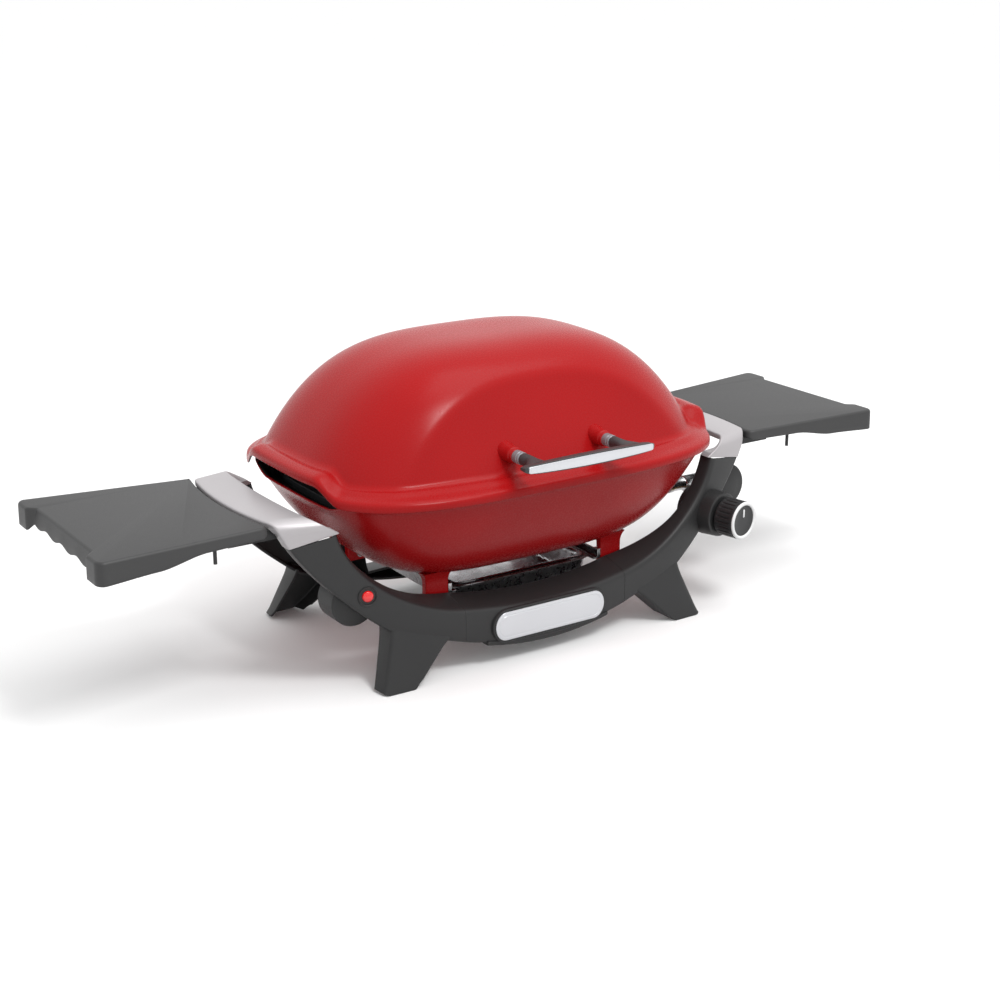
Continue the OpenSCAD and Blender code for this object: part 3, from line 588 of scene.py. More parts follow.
def cookbox_skin():
    rings = [box_ring(1 - (1 - DRAIN_RATIO) * (k / 44) ** 1.5) for k in range(2, 45)]
    rings += [box_ring(DRAIN_RATIO, 0, 0.8 * SHELL)]
    rings += [box_ring(mix(DRAIN_RATIO, 0.91, (k / 20) ** 0.7), BOX_WALL, SHELL) for k in range(1, 21)]
    under = box_ratio(GRATE_Z - 12)
    rings += [box_ring(under, BOX_WALL, 0, GRATE_Z - 12)]
    rings += [box_ring(under, LEDGE, 0, GRATE_Z - 8), box_ring(under, LEDGE + 1, 0, GRATE_Z - 1.2)]
    rings += [box_ring(under, LEDGE, 0, GRATE_Z - 0.2), box_ring(under, LEDGE - 2, 0, GRATE_Z)]
    over = box_ratio(GRATE_Z)
    rings += [box_ring(over, BOX_WALL + 2, 0, GRATE_Z), box_ring(over, BOX_WALL, 0, GRATE_Z + 2)]
    rings += [box_ring(mix(over, 1, k / 6), BOX_WALL) for k in range(1, 6)]
    rings += [
        box_ring(1, BOX_WALL, -1.2), box_ring(1, BOX_WALL - 0.6, -0.2), box_ring(1, BOX_WALL - 1.5),
    ]
    rings += [box_ring(1, 1.5), box_ring(1, 0.5, -0.4), box_ring(1, 0, -1.4)]
    return loft(rings, loop=True)


def post_skin(side_x, side_y):
    """Mounting post, widening where it grows out of the cookbox."""
    width, depth, foot = 37.0, 12.0, 86.0
    centre = Vector((151.0 * side_x, 112.4 * side_y))
    ratio = ((abs(centre.x) / BOX_A) ** BOX_P + (abs(centre.y) / BOX_B) ** BOX_P) ** (1 / BOX_P)
    top = box_z(ratio)
    rings = []
    for share in [0, 0.04, 0.5, 0.7, 0.8, 0.88, 0.94, 1.0, 1.08]:
        flare = 3 * max(0.0, (share - 0.7) / 0.3) ** 2.2
        w, d = width / 2 + flare, depth / 2 + flare * 0.8
        z = mix(foot, top, share)
        corners = [
            (centre.x + i * w, centre.y + j * d, z) for i, j in ((-1, -1), (1, -1), (1, 1), (-1, 1))
        ]
        rings.append(soft_ring(corners, [2.5] * 4))
    return loft(rings)


add_piece(
    "cookbox_casting", cookbox_skin(), "frame", FINISH["red"], ["cookbox"], sharp=75,
    inside=(FINISH["cast_inside"], faces_in(RIM_Z - 12)),
)
add_piece(
    "cookbox_mounting_posts",
    joined(*[post_skin(i, j) for i in (-1, 1) for j in (-1, 1)]),
    "frame", FINISH["red"], ["cookbox_posts"], sharp=50,
)


# ---- Frame ----

PLATE_LOW, PLATE_HIGH = corners_mm("nameplate")
RAIL_Y = 178.0
RAIL_ARC = 1562.0
RAIL_DEPTH = 50.0
RAIL_WALL = 4.0
ARM_END_DEPTH = 24.0
SEAM_X = 138.0
LEG_SHARE = 0.35


def face_y(x):
    """Distance of the rails' outer face from the middle, at x."""
    return RAIL_Y - x * x / (2 * RAIL_ARC)


def rail_ring(low, mid, top, depth=RAIL_DEPTH):
    """Section of a rail through its lower edge, its crease and its back edge, all (x, z)."""
    length = math.hypot(mid[0] - low[0], mid[1] - low[1])
    ux = (mid[0] - low[0]) / length * RAIL_WALL
    uz = (mid[1] - low[1]) / length * RAIL_WALL
    yl, ym = -face_y(low[0]), -face_y(mid[0])
    corners = [
        (low[0], yl + depth, low[1]), (low[0], yl, low[1]),
        (mid[0], ym, mid[1]), (top[0], ym + depth, top[1]),
        (top[0] - ux, ym + depth, top[1] - uz), (mid[0] - ux, ym + RAIL_WALL, mid[1] - uz),
        (low[0] + ux, yl + RAIL_WALL, low[1] + uz), (low[0] + ux, yl + depth, low[1] + uz),
    ]
    return soft_ring(corners, [1.2, 4.5, 9, 2, 1, 3, 3, 1.2])


def belly(x):
    return 27 + 24 * (x / 162) ** 2


def beam_crease(x):
    return 83 + 9 * (x / SEAM_X) ** 2


def beam_top(x):
    return 92 + 12 * (x / SEAM_X) ** 2


def beam_skin(dip):
    """Middle of a rail; dip lowers its upper edge so that the catch pan can slide out."""
    rings = []
    count = 72
    for k in range(count + 1):
        x = mix(-SEAM_X + 0.3, SEAM_X - 0.3, k / count)
        crease, top = beam_crease(x), beam_top(x)
        if dip:
            side = smooth((abs(x) - 127) / 9)
            crease, top = mix(50, crease, side), mix(56, top, side)
        rings.append(rail_ring((x, belly(x)), (x, crease), (x, top)))
    return loft(rings)


def arm_lines(t):
    """Lower edge, crease and back edge of an arm, all (x, z), from the seam to the end handle."""
    start = (SEAM_X, belly(SEAM_X))
    if t < LEG_SHARE:
        low = tuple(mix(a, b, t / LEG_SHARE) for a, b in zip(start, (239, 73)))
    else:
        low = bezier((239, 73), (280, 100), (352, 165), (382, 217), (t - LEG_SHARE) / (1 - LEG_SHARE))
    mid = bezier((SEAM_X, beam_crease(SEAM_X)), (225, 105), (303, 163), (319, 228.5), t)
    top = bezier((SEAM_X, beam_top(SEAM_X)), (225, 110), (298, 168), (315, 230), t)
    return low, mid, top


def arm_skin():
    rings = []
    for k in range(73):
        depth = mix(RAIL_DEPTH, ARM_END_DEPTH, smooth(k / 72 / 0.6))
        rings.append(rail_ring(*arm_lines(k / 72), depth))
    return loft(rings)


def leg_skin():
    """Hollow leg, open at the back, whose sole is slightly rounded."""
    foot = [(222, -184), (274, -183), (278, -158), (218, -158)]
    crotch = [
        (158, -face_y(158) + 0.9, 62), (245, -face_y(245) + 0.9, 86), (245, -122, 84), (158, -130, 60),
    ]
    wall = 4.0
    inward = [(wall, wall), (-wall, wall), (-wall, 0), (wall, 0)]
    rings = []
    for k in range(25):
        share = k / 24
        flare = 7 * max(0.0, (share - 0.72) / 0.28) ** 2
        outer = []
        for i, (low, high) in enumerate(zip(foot, crotch)):
            x = mix(low[0], high[0], share) + (-flare if i in (0, 3) else flare * 0.5)
            outer.append((x, mix(low[1], high[1], share), mix(0.1, high[2], share)))
        inner = [(x + dx, y + dy, z) for (x, y, z), (dx, dy) in zip(outer, inward)]
        corners = [outer[3], outer[0], outer[1], outer[2], inner[2], inner[1], inner[0], inner[3]]
        ring = soft_ring(corners, [1, 6, 7, 1, 1, 3, 3, 1])
        if k < 4:
            middle = (foot[0][0] + foot[1][0]) / 2
            ring = [
                (x, y, z + (1 - k / 4) * 12 * max(0.0, abs(x - middle) / 27 - 0.74))
                for x, y, z in ring
            ]
        rings.append(ring)
    return loft(rings)


def stadium(width, height, level_y, centre_z, end_share=1.0, steps=14):
    """Upright ring with round ends, in the plane y = level_y; end_share below 1 flattens the ends."""
    radius = height / 2
    straight = width / 2 - radius * end_share
    ring = []
    for side in (1, -1):
        for k in range(steps + 1):
            turn = math.radians(-90 + 180 * k / steps)
            x = side * (straight + radius * end_share * math.cos(turn))
            ring.append((x, level_y, centre_z + side * radius * math.sin(turn)))
    return ring


PLATE_Z = (PLATE_LOW.z + PLATE_HIGH.z) / 2
PLATE_W = PLATE_HIGH.x - PLATE_LOW.x
PLATE_H = PLATE_HIGH.z - PLATE_LOW.z


def pad_skin():
    """Raised pad round the nameplate."""
    back, front = PLATE_HIGH.y + 4, PLATE_HIGH.y + 0.1
    rings = [stadium(PLATE_W + 9, PLATE_H + 9, back, PLATE_Z)]
    rings += [stadium(PLATE_W + 8, PLATE_H + 8, front + 0.9, PLATE_Z)]
    rings += [stadium(PLATE_W + 6.6, PLATE_H + 6.6, front - 0.3, PLATE_Z)]
    rings += [stadium(PLATE_W + 4.4, PLATE_H + 4.4, front - 0.5, PLATE_Z)]
    rings += [stadium(PLATE_W + 1.4, PLATE_H + 1.4, front - 0.3, PLATE_Z)]
    rings += [stadium(PLATE_W + 1.0, PLATE_H + 1.0, front + 0.6, PLATE_Z)]
    return loft(rings)


def keel_skin():
    """Shallow keel under the front beam."""
    rings = []
    for y, grow in (
        (-RAIL_Y + 1.5, -3), (-RAIL_Y + 3, -0.8), (-RAIL_Y + 6, 0), (-RAIL_Y + RAIL_DEPTH - 3, 0),
    ):
        upper, lower = [], []
        for k in range(-20, 21):
            x = k * 5.2
            upper.append((x, y, 30 + 24 * (x / 162) ** 2))
            lower.append((x, y, min(20.8 + 12 * (x / 104) ** 2 - grow, 29 + 24 * (x / 162) ** 2)))
        rings.append(upper + lower[::-1])
    return loft(rings)


ARM = joined(arm_skin(), leg_skin())
add_piece(
    "front_beam_moulding", joined(beam_skin(False), pad_skin(), keel_skin()),
    "frame", FINISH["frame"], ["front_beam"], bevel=0.7,
)
add_piece(
    "rear_beam_moulding", mirrored(beam_skin(True), y=-1), "frame", FINISH["frame"],
    ["rear_beam"], bevel=0.7,
)
add_piece(
    "rear_left_arm_moulding", mirrored(ARM, -1, -1), "frame", FINISH["frame"],
    ["rear_left_arm"], bevel=0.7,
)
add_piece(
    "rear_right_arm_moulding", mirrored(ARM, 1, -1), "frame", FINISH["frame"],
    ["rear_right_arm"], bevel=0.7,
)


# ---- Places on the front arms ----

KNOB_X, KNOB_Z = 322.0, 144.0
BUTTON_X, BUTTON_Z = -281.0, 138.0
DRUM = (-288.0, -130.0, 124.0)
BOSS_R = 34.0
DRUM_R = 35.0


def control_axis(x):
    """Direction square to the rail's face at x, pointing out."""
    lean = math.asin(x / RAIL_ARC)
    return Vector((math.sin(lean), -math.cos(lean), 0))


def control_centre(x, z):
    return Vector((x, -face_y(x), z))


def ring_lathe(profile, centre, axis, steps=64):
    """Skin of revolution whose profile closes on itself, for anything with a hole through it."""
    points, _ = lathe(profile, centre, axis, steps)
    rings = [points[i:i + steps] for i in range(0, len(points), steps)]
    return loft(rings, loop=True)


def knob_boss_skin():
    profile = [
        (BOSS_R, -40), (BOSS_R + 1.2, -6), (BOSS_R + 0.8, 0), (BOSS_R + 0.2, 10), (BOSS_R - 0.2, 18),
        (BOSS_R - 0.8, 20.6), (BOSS_R - 2.2, 21.8), (BOSS_R - 4, 22), (11, 22), (10, 21), (7, 18),
        (7, 4), (30, 4), (30, -40),
    ]
    return ring_lathe(profile, control_centre(KNOB_X, KNOB_Z), control_axis(KNOB_X), 96)


def bezel_skin():
    button_low, button_high = corners_mm("igniter_button")
    hole = (button_high.z - button_low.z) / 2 + 0.5
    profile = [
        (hole + 6.2, -10), (hole + 5.6, 0.6), (hole + 5.1, 1.7), (hole + 4.3, 2), (hole + 3.4, 1.4),
        (hole + 2.9, -0.8), (hole + 0.8, -2.2), (hole, -3.4), (hole, -10),
    ]
    return ring_lathe(profile, control_centre(BUTTON_X, BUTTON_Z), control_axis(BUTTON_X))


def drum_skin():
    profile = [
        (0, 0), (DRUM_R - 3, 0), (DRUM_R - 1.2, 0.5), (DRUM_R, 2), (DRUM_R, 41), (DRUM_R - 1, 42),
        (DRUM_R - 4, 42), (DRUM_R - 4, 5), (0, 5),
    ]
    return lathe(profile, DRUM, (0, 1, 0), 96)


add_piece(
    "front_right_arm_moulding", joined(ARM, knob_boss_skin()), "frame", FINISH["frame"],
    ["front_right_arm"], bevel=0.7,
)
add_piece(
    "front_left_arm_moulding", joined(mirrored(ARM, -1), bezel_skin(), drum_skin()),
    "frame", FINISH["frame"], ["front_left_arm"], bevel=0.7,
)


def nameplate_skin():
    """Blank plate with a rounded edge and a fine groove inside it."""
    front, back = PLATE_LOW.y, PLATE_HIGH.y
    rings = []
    for shrink, depth in (
        (0, 1.0), (0, 0.5), (0.3, 0.15), (0.9, 0), (4.4, 0), (4.8, 0.35), (5.6, 0.35), (6.0, 0),
    ):
        width, height = PLATE_W - 2 * shrink, PLATE_H - 2 * shrink
        rings.append(stadium(width, height, front + depth, PLATE_Z, 0.86, 20))
    rings.insert(0, stadium(PLATE_W, PLATE_H, back, PLATE_Z, 0.86, 20))
    return loft(rings)


add_piece(
    "blank_nameplate", nameplate_skin(), "frame", FINISH["bright"], ["nameplate"],
)


# ---- End handles ----


# The band over the cap is bowed: radius and reach of its outer edge, and half its length
CAP_BOW = 540.0
CAP_HALF = 142.0
CAP_REACH = 418.5
CAP_MIDDLE_X = CAP_REACH - CAP_BOW
# Share of that bow which the band's inner edge takes
INNER_BOW = 0.4


def bow_edge(y):
    """Outer edge of the cap's bowed band at y."""
    return CAP_MIDDLE_X + math.sqrt(CAP_BOW * CAP_BOW - y * y)


def end_handle_skin():
    """Arch across the end of the frame: wide on top, wrapping down onto the two arms."""
    _, high = corners_mm("right_end_handle")
    corner, top = 20.0, high.z
    spring = top - corner
    thick = 9.0
    outer_x = bow_edge(CAP_HALF)

    def edges(z):
        """Inner and outer x of the band at a height."""
        up_inner = min(1, max(0, (z - 230.6) / 25.4))
        up_outer = min(1, max(0, (z - 217.4) / 38.6))
        inner = bezier((314, 230.6), (325, 240), (340, 252), (351, 256), up_inner)
        outer = bezier((384, 217.4), (391, 229), (398, 243), (outer_x, 256), up_outer)
        return inner[0], outer[0]

    def section(share):
        """Corners of the band's section, share running from 0 at the front foot to 1 at the middle."""
        foot_share = min(1.0, share / 0.3)
        turn = math.radians(90 * min(1.0, max(0.0, (share - 0.3) / 0.4)))
        across = min(1.0, max(0.0, (share - 0.7) / 0.3))
        corners = []
        for side, foot_z in ((0, 230.6), (1, 217.4)):
            z = mix(foot_z, spring, foot_share) if share < 0.3 else spring + corner * math.sin(turn)
            if share < 0.3:
                x = edges(z)[side]
            else:
                x = mix(edges(spring)[side], (351.0, outer_x)[side], math.sin(turn))
            reach = min(CAP_HALF, face_y(x))
            y = mix(-(reach - corner) - corner * math.cos(turn), 0, across)
            x += (bow_edge(y) - outer_x) * smooth(turn / math.pi * 2) * (INNER_BOW, 1.0)[side]
            corners.append((x, y, z))
        down = Vector((0, math.cos(turn), -math.sin(turn)))
        depth = mix(20.0, thick, smooth((share - 0.25) / 0.4))
        inner = [tuple(Vector(c) + down * depth) for c in reversed(corners)]
        return corners + inner

    shares = [k / 60 for k in range(61)]
    half = [soft_ring(section(s), [3.5, 3.5, 2, 2]) for s in shares]
    back = [[(x, -y, z) for x, y, z in ring] for ring in reversed(half[:-1])]
    return loft(half + back)


RIGHT_CAP = end_handle_skin()
for side, sign in (("left", -1), ("right", 1)):
    add_piece(
        f"{side}_end_cap", mirrored(RIGHT_CAP, sign), "frame", FINISH["silver"],
        [f"{side}_end_handle"], sharp=50,
    )


# ---- Lid handle ----

GRIP_LOW, GRIP_HIGH = corners_mm("handle_grip")
INSERT_LOW, INSERT_HIGH = corners_mm("handle_insert")
POST_X = 75.0
POST_Z = 312.0
GRIP_HALF = GRIP_HIGH.x
GRIP_Z = (INSERT_LOW.z + INSERT_HIGH.z) / 2
GRIP_FRONT = INSERT_LOW.y
BOW = 3.0


def grip_front(x):
    """Y of the grip's front edge at x: the middle stands a little further out."""
    return GRIP_FRONT + 1.0 + BOW * (x / GRIP_HALF) ** 2


def grip_skin():
    """Bowed bar, tallest in the middle, with rounded ends."""
    rings = []
    count = 64
    for k in range(count + 1):
        u = -math.cos(math.pi * k / count)
        x = GRIP_HALF * u
        end = math.sqrt(max(0.0, 1 - abs(u) ** 14)) if abs(u) < 1 else 0.0
        half = (8.7 - 2.9 * u * u) * (0.35 + 0.65 * end)
        front = grip_front(x) + (1 - end) * 3
        depth = mix(21.0, 17.0, u * u) - (1 - end) * 6
        corners = [
            (x, front, GRIP_Z - half), (x, front, GRIP_Z + half),
            (x, front + depth, GRIP_Z + half * 0.62), (x, front + depth, GRIP_Z - half * 0.62),
        ]
        rings.append(soft_ring(corners, [1.6, 1.6, 5, 5], 5))
    return loft(rings)


def handle_arm_skin(side):
    """Neck from the ferrule, spreading outward into the bow of the grip."""
    rings = []
    count = 24
    start = Vector((side * POST_X, corners_mm("handle_ferrules")[0].y, POST_Z))
    for k in range(count + 1):
        t = k / count
        y = mix(start.y, GRIP_FRONT + 15, t)
        inner = side * POST_X - side * mix(8.6, 8.0, t) - side * 10 * t**3
        spread = 15 * smooth((t - 0.25) / 0.75) ** 1.3
        outer = side * POST_X + side * mix(8.6, 7.5, smooth(t * 2)) + side * spread
        middle, width = (inner + outer) / 2, abs(outer - inner) / 2
        height = mix(8.6, 5.6, smooth(t))
        ring = []
        for turn in circle_angles(32):
            ring.append((
                middle + math.cos(turn) * width,
                y,
                mix(start.z, GRIP_Z, t) + math.sin(turn) * height,
            ))
        rings.append(ring)
    return loft(rings)


def insert_skin():
    """Bright strip let into the front of the grip: a lens with rounded ends."""
    rings = []
    count = 64
    reach = GRIP_HALF - 4.5
    for k in range(count + 1):
        u = -math.cos(math.pi * k / count)
        x = reach * u
        end = math.sqrt(max(0.0, 1 - abs(u) ** 60))
        half = (6.9 - 2.3 * u * u) * (0.7 + 0.3 * end)
        front = grip_front(x) - 0.9
        corners = [
            (x, front + 0.2, GRIP_Z - half), (x, front + 0.2, GRIP_Z + half),
            (x, front + 2.4, GRIP_Z + half), (x, front + 2.4, GRIP_Z - half),
        ]
        rings.append(soft_ring(corners, [0.9, 0.9, 0.3, 0.3], 3))
    return loft(rings)


def boss_skin(side):
    """Cast boss on the hollowed face: two stepped rings round the handle's ferrule."""
    front = corners_mm("handle_ferrules")[1].y
    profile = [
        (0, 0), (9.2, 0), (10.0, 0.6), (10.3, 2), (10.4, 5.0), (11.0, 5.4), (11.5, 6.0), (11.7, 8),
        (12.0, 13), (12.6, 18), (14.0, 24), (15.0, 34), (0, 34),
    ]
    return lathe(profile, (side * POST_X, front, POST_Z), (0, 1, 0), 64)


def ferrule_skin(side):
    low, high = corners_mm("handle_ferrules")
    length = high.y - low.y
    profile = [
        (0, 0), (7.6, 0), (8.6, 0.4), (9, 1.4), (9, 5.2), (8.5, 5.6), (8.5, 6.4), (9, 6.8),
        (9, length), (0, length),
    ]
    return lathe(profile, (side * POST_X, low.y, POST_Z), (0, 1, 0), 64)


add_piece(
    "lid_handle_bow", joined(grip_skin(), handle_arm_skin(-1), handle_arm_skin(1)),
    "lid", FINISH["grip"], ["handle_grip"], sharp=50,
)
add_piece(
    "lid_handle_insert", insert_skin(), "lid", FINISH["bright"],
    ["handle_insert"], sharp=40,
)
add_piece(
    "lid_handle_bosses", joined(boss_skin(-1), boss_skin(1)), "lid", FINISH["red"],
    ["handle_bosses"], sharp=60,
)
add_piece(
    "lid_handle_ferrules", joined(ferrule_skin(-1), ferrule_skin(1)), "lid",
    FINISH["ferrule"], ["handle_ferrules"], sharp=50,
)


# ---- Knob, button and regulator ----


def node_middle(node):
    low, high = corners_mm(node)
    return (low + high) / 2


KNOB_GAP = 26.0
KNOB_LENGTH = 36.0
KNOB_R = 29.0
RIBS = 24


def ribbed(turn, radius, distance):
    """Radius of the knob's barrel: shallow grooves along it that fade out at both ends."""
    if radius < KNOB_R - 2:
        return radius
    fade = smooth((distance - 3) / 5) * smooth((KNOB_LENGTH - 6 - distance) / 5)
    groove = max(0.0, math.cos(turn * RIBS)) ** 2
    return radius - 1.5 * fade * groove


def knob_skin():
    start = control_centre(KNOB_X, KNOB_Z) + control_axis(KNOB_X) * KNOB_GAP
    profile = [
        (10.2, 14), (10.2, 0), (KNOB_R - 3, 0), (KNOB_R - 1, 0.6), (KNOB_R, 2), (KNOB_R, 3), (KNOB_R, 5),
        (KNOB_R, 8), (KNOB_R, 12), (KNOB_R, 20), (KNOB_R, 25), (KNOB_R, 28), (KNOB_R, 30), (KNOB_R, 31.2),
        (KNOB_R - 0.8, 31.6), (KNOB_R - 1.0, 32.6), (KNOB_R - 1.2, 34.4), (KNOB_R - 5.6, 34.4),
        (KNOB_R - 6.2, 35.0), (KNOB_R - 7.5, 34.6), (6, 34.6), (0, 34.6),
    ]
    rings = lathe([(0, 14)] + profile, start, control_axis(KNOB_X), 288, ribbed)
    return rings


def knob_ring_skin():
    start = control_centre(KNOB_X, KNOB_Z) + control_axis(KNOB_X) * (KNOB_GAP + KNOB_LENGTH - 2.6)
    profile = [
        (KNOB_R - 0.9, 0), (KNOB_R - 0.2, 0.3), (KNOB_R, 1.0), (KNOB_R - 0.2, 2.0), (KNOB_R - 1, 2.8),
        (KNOB_R - 2.4, 3.1), (KNOB_R - 4.2, 3.0), (KNOB_R - 5.2, 2.4), (KNOB_R - 5.6, 1.2),
        (KNOB_R - 5.6, 0),
    ]
    return ring_lathe(profile, start, control_axis(KNOB_X), 128)


def knob_pointer_skin():
    """Plain raised bar on the knob's face that shows its setting."""
    axis = control_axis(KNOB_X)
    across = axis.cross(Vector((0, 0, 1))).normalized()
    centre = control_centre(KNOB_X, KNOB_Z) + axis * (KNOB_GAP + KNOB_LENGTH - 1.5)
    rings = []
    for rise, shrink in ((-0.2, 0), (0.5, 0), (0.8, 0.3)):
        ring = []
        for end, side in ((1, 1), (1, -1), (0, -1), (0, 1)):
            up = mix(5 + shrink, 17.5 - shrink, end)
            wide = side * (1.7 - shrink)
            ring.append(tuple(centre + axis * rise + Vector((0, 0, 1)) * up + across * wide))
        rings.append(soft_ring(ring, [1.5] * 4))
    return loft(rings)


def button_skin():
    low, high = corners_mm("igniter_button")
    radius = (high.z - low.z) / 2
    centre = control_centre(BUTTON_X, BUTTON_Z) - control_axis(BUTTON_X) * 6
    profile = [
        (0, 0), (radius, 0), (radius, 6.4), (radius - 0.3, 7.8), (radius - 1.2, 9.0), (radius - 2.8, 9.8),
        (radius - 5, 10.3), (2, 10.5), (0, 10.5),
    ]
    return lathe(profile, centre, control_axis(BUTTON_X), 64)


def regulator_skin():
    low, _ = corners_mm("regulator")
    middle = node_middle("regulator")
    profile = [
        (0, 0), (20, 0), (21, 0.6), (31, 0.8), (33.6, 1.8), (35, 4.2), (35, 7), (34.2, 7.6), (34.2, 8.6),
        (35, 9.2), (35, 11), (33, 13.5), (26, 20), (24, 24), (12, 24.4), (11, 25), (11, 36), (10, 36.4),
        (10, 38), (11, 38.4), (11, 46.4), (10.4, 47), (7, 47), (7, 29), (0, 29),
    ]
    return lathe(profile, (middle.x, low.y, middle.z), (0, 1, 0), 96)


add_piece("knob_body", knob_skin(), "knob", FINISH["knob"], ["knob"], sharp=40)
add_piece(
    "knob_white_ring", knob_ring_skin(), "knob", FINISH["white"], ["knob_ring"], sharp=50,
)
add_piece("knob_pointer", knob_pointer_skin(), "knob", FINISH["white"], sharp=40)
add_piece(
    "igniter_push_button", button_skin(), "button", FINISH["button"],
    ["igniter_button"], sharp=50,
)
add_piece(
    "gas_regulator", regulator_skin(), "frame", FINISH["frame"], ["regulator"],
    sharp=40,
)


def venturi_skin():
    """Flared mouth and air shutter on the burner tube."""
    low, high = corners_mm("venturi")
    middle = node_middle("venturi")
    length = high.x - low.x
    profile = [
        (9.05, -46), (10.4, -46), (10.4, -38), (9.3, -37.4), (9.3, -31), (10.4, -30.4), (10.4, -24),
        (9.3, -23.4), (9.3, -14), (9.4, -4), (10.4, -1), (12, 0), (12, length - 1), (11.4, length),
        (10, length), (10, 2), (9.05, 1),
    ]
    return ring_lathe(profile, (low.x, middle.y, middle.z), (1, 0, 0), 64)


add_piece(
    "burner_air_shutter", venturi_skin(), "frame", FINISH["steel"], ["venturi"], sharp=35,
)


# ---- Side tables ----

TABLE_LOW, TABLE_HIGH = corners_mm("right_table")
TABLE_TIP_SLOPE_X = 640.0
TABLE_WALL = 3.5
TIP_RECESS = 8.0
TIP_LIFT = 9.0
EDGE_ROUND = 4.5


def table_top_z(x):
    return 253 + 4.5 * (x - TABLE_LOW.x) / (TABLE_TIP_SLOPE_X - TABLE_LOW.x)


def table_half(x):
    """Half depth of the table at x."""
    return mix(127.0, TABLE_HIGH.y - 0.1, (x - TABLE_LOW.x) / (TABLE_TIP_SLOPE_X - TABLE_LOW.x))


def tip_hollow(y):
    """1 along the recessed middle of the outer end, 0 at its two corners."""
    return smooth((112 - abs(y)) / 14)


def inner_edge(y):
    """X of the table's inner end at y, which follows the bow of the end cap."""
    return CAP_MIDDLE_X + math.sqrt((CAP_BOW + 2) ** 2 - y * y)


def table_outline():
    """Plan of the table, counter-clockwise, as closely spaced points with rounded corners."""
    tip = TABLE_HIGH.x
    inner, outer = table_half(TABLE_LOW.x), TABLE_HIGH.y - 0.1
    corners = [
        (TABLE_LOW.x, -inner, 0), (tip - 7, -outer, 0), (tip, -outer + 9, 0),
        (tip, outer - 9, 0), (tip - 7, outer, 0), (TABLE_LOW.x, inner, 0),
    ]
    rough = soft_ring(corners, [16, 6, 5, 5, 6, 5], 8)
    points = []
    for i, here in enumerate(rough):
        after = Vector(rough[(i + 1) % len(rough)])
        span = (after - Vector(here)).length
        pieces = max(1, round(span / 1.8))
        points += [Vector(here).lerp(after, k / pieces) for k in range(pieces)]
    last = inner_edge(inner)
    return [
        (p.x + (inner_edge(p.y) - last) * smooth(1 - (p.x - TABLE_LOW.x) / 60), p.y) for p in points
    ]


def skirt_low(x, y):
    """Height of the skirt's lower edge: an S-curve along the sides, scallops at the outer end."""
    side = mix(238, 228.5, smooth((x - 498) / 70)) - 2.5 * smooth((x - 570) / 80)
    end = smooth((x - (TABLE_HIGH.x - 16)) / 8) * tip_hollow(y)
    wave = 2.6 * math.cos(y * 2 * math.pi / 55)
    inner_end = smooth((inner_edge(y) + 10 - x) / 8)
    return side + end * (TIP_LIFT + wave) + inner_end * 2


def table_skin():
    outline = table_outline()
    count = len(outline)
    normals = []
    for i in range(count):
        ax, ay = outline[i - 1]
        bx, by = outline[(i + 1) % count]
        length = math.hypot(bx - ax, by - ay)
        normals.append(((by - ay) / length, -(bx - ax) / length))

    def ring(inset, level, recess=0.0):
        points = []
        for (x, y), (nx, ny) in zip(outline, normals):
            dent = recess * tip_hollow(y) * smooth((x - (TABLE_HIGH.x - 10)) / 6)
            px, py = x - nx * inset - dent, y - ny * inset
            points.append((px, py, level(x, y, px)))
        return points

    def top(drop):
        return lambda x, y, px: table_top_z(px) - drop

    def skirt(share):
        return lambda x, y, px: mix(table_top_z(px) - EDGE_ROUND, skirt_low(x, y), share)

    rings = []
    for k in range(7):
        turn = math.radians(15 * k)
        inset = 0.6 + EDGE_ROUND * (1 - math.sin(turn))
        rings.append(ring(inset, top(EDGE_ROUND * (1 - math.cos(turn))), 11))
    rings.append(ring(0.3, skirt(0.35), 9.5))
    rings.append(ring(0.1, skirt(0.7), 8.5))
    rings.append(ring(0, lambda x, y, px: skirt_low(x, y) + 0.8, TIP_RECESS))
    rings.append(ring(0.8, lambda x, y, px: skirt_low(x, y), TIP_RECESS))
    rings.append(ring(TABLE_WALL - 0.8, lambda x, y, px: skirt_low(x, y), TIP_RECESS))
    rings.append(ring(TABLE_WALL, lambda x, y, px: skirt_low(x, y) + 0.8, TIP_RECESS))
    rings.append(ring(TABLE_WALL + 0.5, top(TABLE_WALL + 1.5), 10))
    rings.append(ring(TABLE_WALL + 2, top(TABLE_WALL), 10))
    skin = loft(rings)
    rib = [
        rounded_box((inner_edge(y) + 2, y - 1.5, 240.5), (TABLE_HIGH.x - 20, y + 1.5, 250.6), 0.6)
        for y in (-80, -40, 0, 40, 80)
    ]
    return joined(skin, *rib)


RIGHT_TABLE = table_skin()
for side, sign in (("left", -1), ("right", 1)):
    add_piece(
        f"{side}_table_top", mirrored(RIGHT_TABLE, sign), f"{side}_table",
        FINISH["table"],
        [f"{side}_table"], sharp=50,
    )
    dress(f"{side}_table_brackets", FINISH["frame"], 0.8)
    dress(f"{side}_table_pins", FINISH["steel"])
    dress(f"{side}_table_pegs", FINISH["frame"], 0.5)


# ---- Pans ----


def rounded_rectangle(half_x, half_y, radius, level, steps=10):
    corners = [
        (i * half_x, j * half_y, level) for i, j in ((-1, -1), (1, -1), (1, 1), (-1, 1))
    ]
    ring = soft_ring(corners, [radius] * 4, steps)
    points = []
    for i, here in enumerate(ring):
        after = Vector(ring[(i + 1) % len(ring)])
        pieces = max(1, round((after - Vector(here)).length / 2.5))
        points += [tuple(Vector(here).lerp(after, k / pieces)) for k in range(pieces)]
    return points


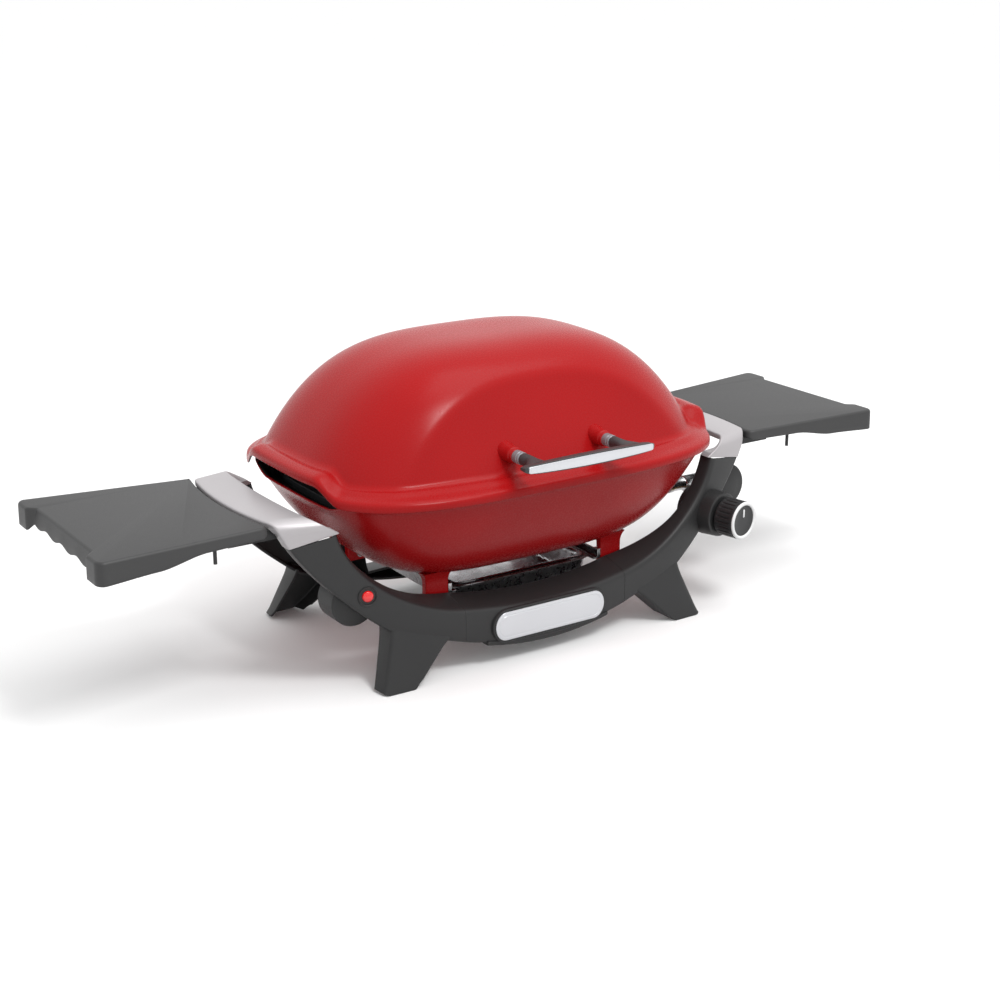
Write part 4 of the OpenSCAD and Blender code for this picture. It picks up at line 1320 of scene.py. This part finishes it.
def pan_skin(node, rim, wall, radius, flute=0.0):
    """Pan with a flat rim and, if it is foil, fluted sides."""
    low, high = corners_mm(node)
    half_x, half_y = high.x - rim, high.y - rim

    def ring(inset, level, share=0.0):
        points = rounded_rectangle(half_x - inset, half_y - inset, max(1.0, radius - inset), level)
        total = len(points)
        moved = []
        for i, (x, y, z) in enumerate(points):
            wave = 0.5 + 0.5 * math.cos(2 * math.pi * i * (total // 7) / total)
            push = 1 - flute * share * wave / half_x
            moved.append((x * push, y * push, z))
        return moved

    depth = high.z - low.z
    rings = [ring(14, low.z), ring(8, low.z, 0.4), ring(7, low.z + 1.0, 0.7), ring(6.4, low.z + 3, 1)]
    rings += [ring(mix(6, 0.8, k / 6), low.z + depth * (0.15 + 0.11 * k), 1 - k / 6) for k in range(7)]
    rings += [ring(0, high.z - wall - 0.6), ring(-1, high.z - wall)]
    rings += [ring(-rim + 1, high.z - wall), ring(-rim, high.z - wall / 2), ring(-rim + 1, high.z)]
    rings += [ring(-0.6, high.z), ring(wall - 0.2, high.z - 0.8)]
    rings += [
        ring(mix(0.8, 6, 1 - k / 6) + wall, low.z + depth * (0.15 + 0.11 * k), 1 - k / 6)
        for k in range(6, -1, -1)
    ]
    rings += [
        ring(7.4 + wall, low.z + 2.6, 0.6), ring(9 + wall, low.z + wall, 0.3), ring(15, low.z + wall),
    ]
    return loft(rings)


add_piece(
    "grease_catch_pan", pan_skin("catch_pan", 6, 1.5, 16), "catch_pan", FINISH["pan"],
    ["catch_pan"], sharp=60,
)
add_piece(
    "foil_drip_pan", pan_skin("drip_pan", 6, 1.0, 14, 1.6), "catch_pan", FINISH["foil"],
    ["drip_pan"], sharp=60,
)


# ---- CAD pieces whose shape stays ----

for node, finish_name, edge in (
    ("post_bolts", "steel", 0.6), ("hinge_brackets", "red", 0.8), ("hinge_pins", "steel", 0.0),
    ("hinge_lugs", "red", 0.8), ("burner", "steel", 0.0), ("burner_posts", "steel", 0.0),
    ("igniter_electrode", "white", 0.0), ("left_grate", "iron", 1.0), ("right_grate", "iron", 1.0),
    ("catch_pan_rails", "steel", 0.3), ("valve", "brass", 0.0), ("valve_stem", "brass", 0.0),
    ("gas_feed_tube", "steel", 0.0), ("regulator_outlet", "brass", 0.0), ("thrust_collar", "steel", 0.4),
    ("igniter_module", "grey", 0.8),
):
    dress(node, FINISH[finish_name], edge)


# ---- Floor and light ----


def add_floor():
    mesh = bpy.data.meshes.new("floor")
    reach = 30.0
    corners = [(-reach, -reach, 0), (reach, -reach, 0), (reach, reach, 0), (-reach, reach, 0)]
    mesh.from_pydata(corners, [], [(0, 1, 2, 3)])
    floor = bpy.data.objects.new("floor", mesh)
    floor.location.z = -0.0002
    bpy.context.scene.collection.objects.link(floor)
    mesh.materials.append(surface(
        "studio_floor", (0.93, 0.93, 0.93), 0.8, tint=0.004, grain=40, bump=0.01, gleam=0.1,
    ))
    floor.visible_diffuse = False


def add_soft_light(name, azimuth, elevation, distance, size, power):
    """Square soft light that looks at the middle of the grill."""
    a, e = math.radians(azimuth), math.radians(elevation)
    target = Vector((0, MIDDLE_Y, 0.25))
    back = Vector((math.sin(a) * math.cos(e), -math.cos(a) * math.cos(e), math.sin(e)))
    data = bpy.data.lights.new(name, "AREA")
    data.energy = power
    data.size = size
    light = bpy.data.objects.new(name, data)
    light.location = target + back * distance
    light.rotation_mode = "QUATERNION"
    light.rotation_quaternion = (-back).to_track_quat("-Z", "Y")
    bpy.context.scene.collection.objects.link(light)


def add_world(above, below):
    """Even light from everywhere above the horizon, and less of it from below."""
    world = bpy.data.worlds.new("studio")
    world.use_nodes = True
    tree = world.node_tree
    direction = tree.nodes.new("ShaderNodeTexCoord")
    parts = tree.nodes.new("ShaderNodeSeparateXYZ")
    tree.links.new(direction.outputs["Generated"], parts.inputs["Vector"])
    strength = ranged(tree, parts.outputs["Z"], below, above, -0.25, 0.15)
    tree.links.new(strength, tree.nodes["Background"].inputs["Strength"])
    tree.nodes["Background"].inputs["Color"].default_value = (1, 1, 1, 1)
    bpy.context.scene.world = world


add_floor()
add_world(1.08, 0.55)
add_soft_light("overhead", 60, 72, 3.0, 1.6, 18)
add_soft_light("key", 6, 53, 3.0, 0.7, 38)
bpy.context.scene.view_settings.view_transform = "Standard"
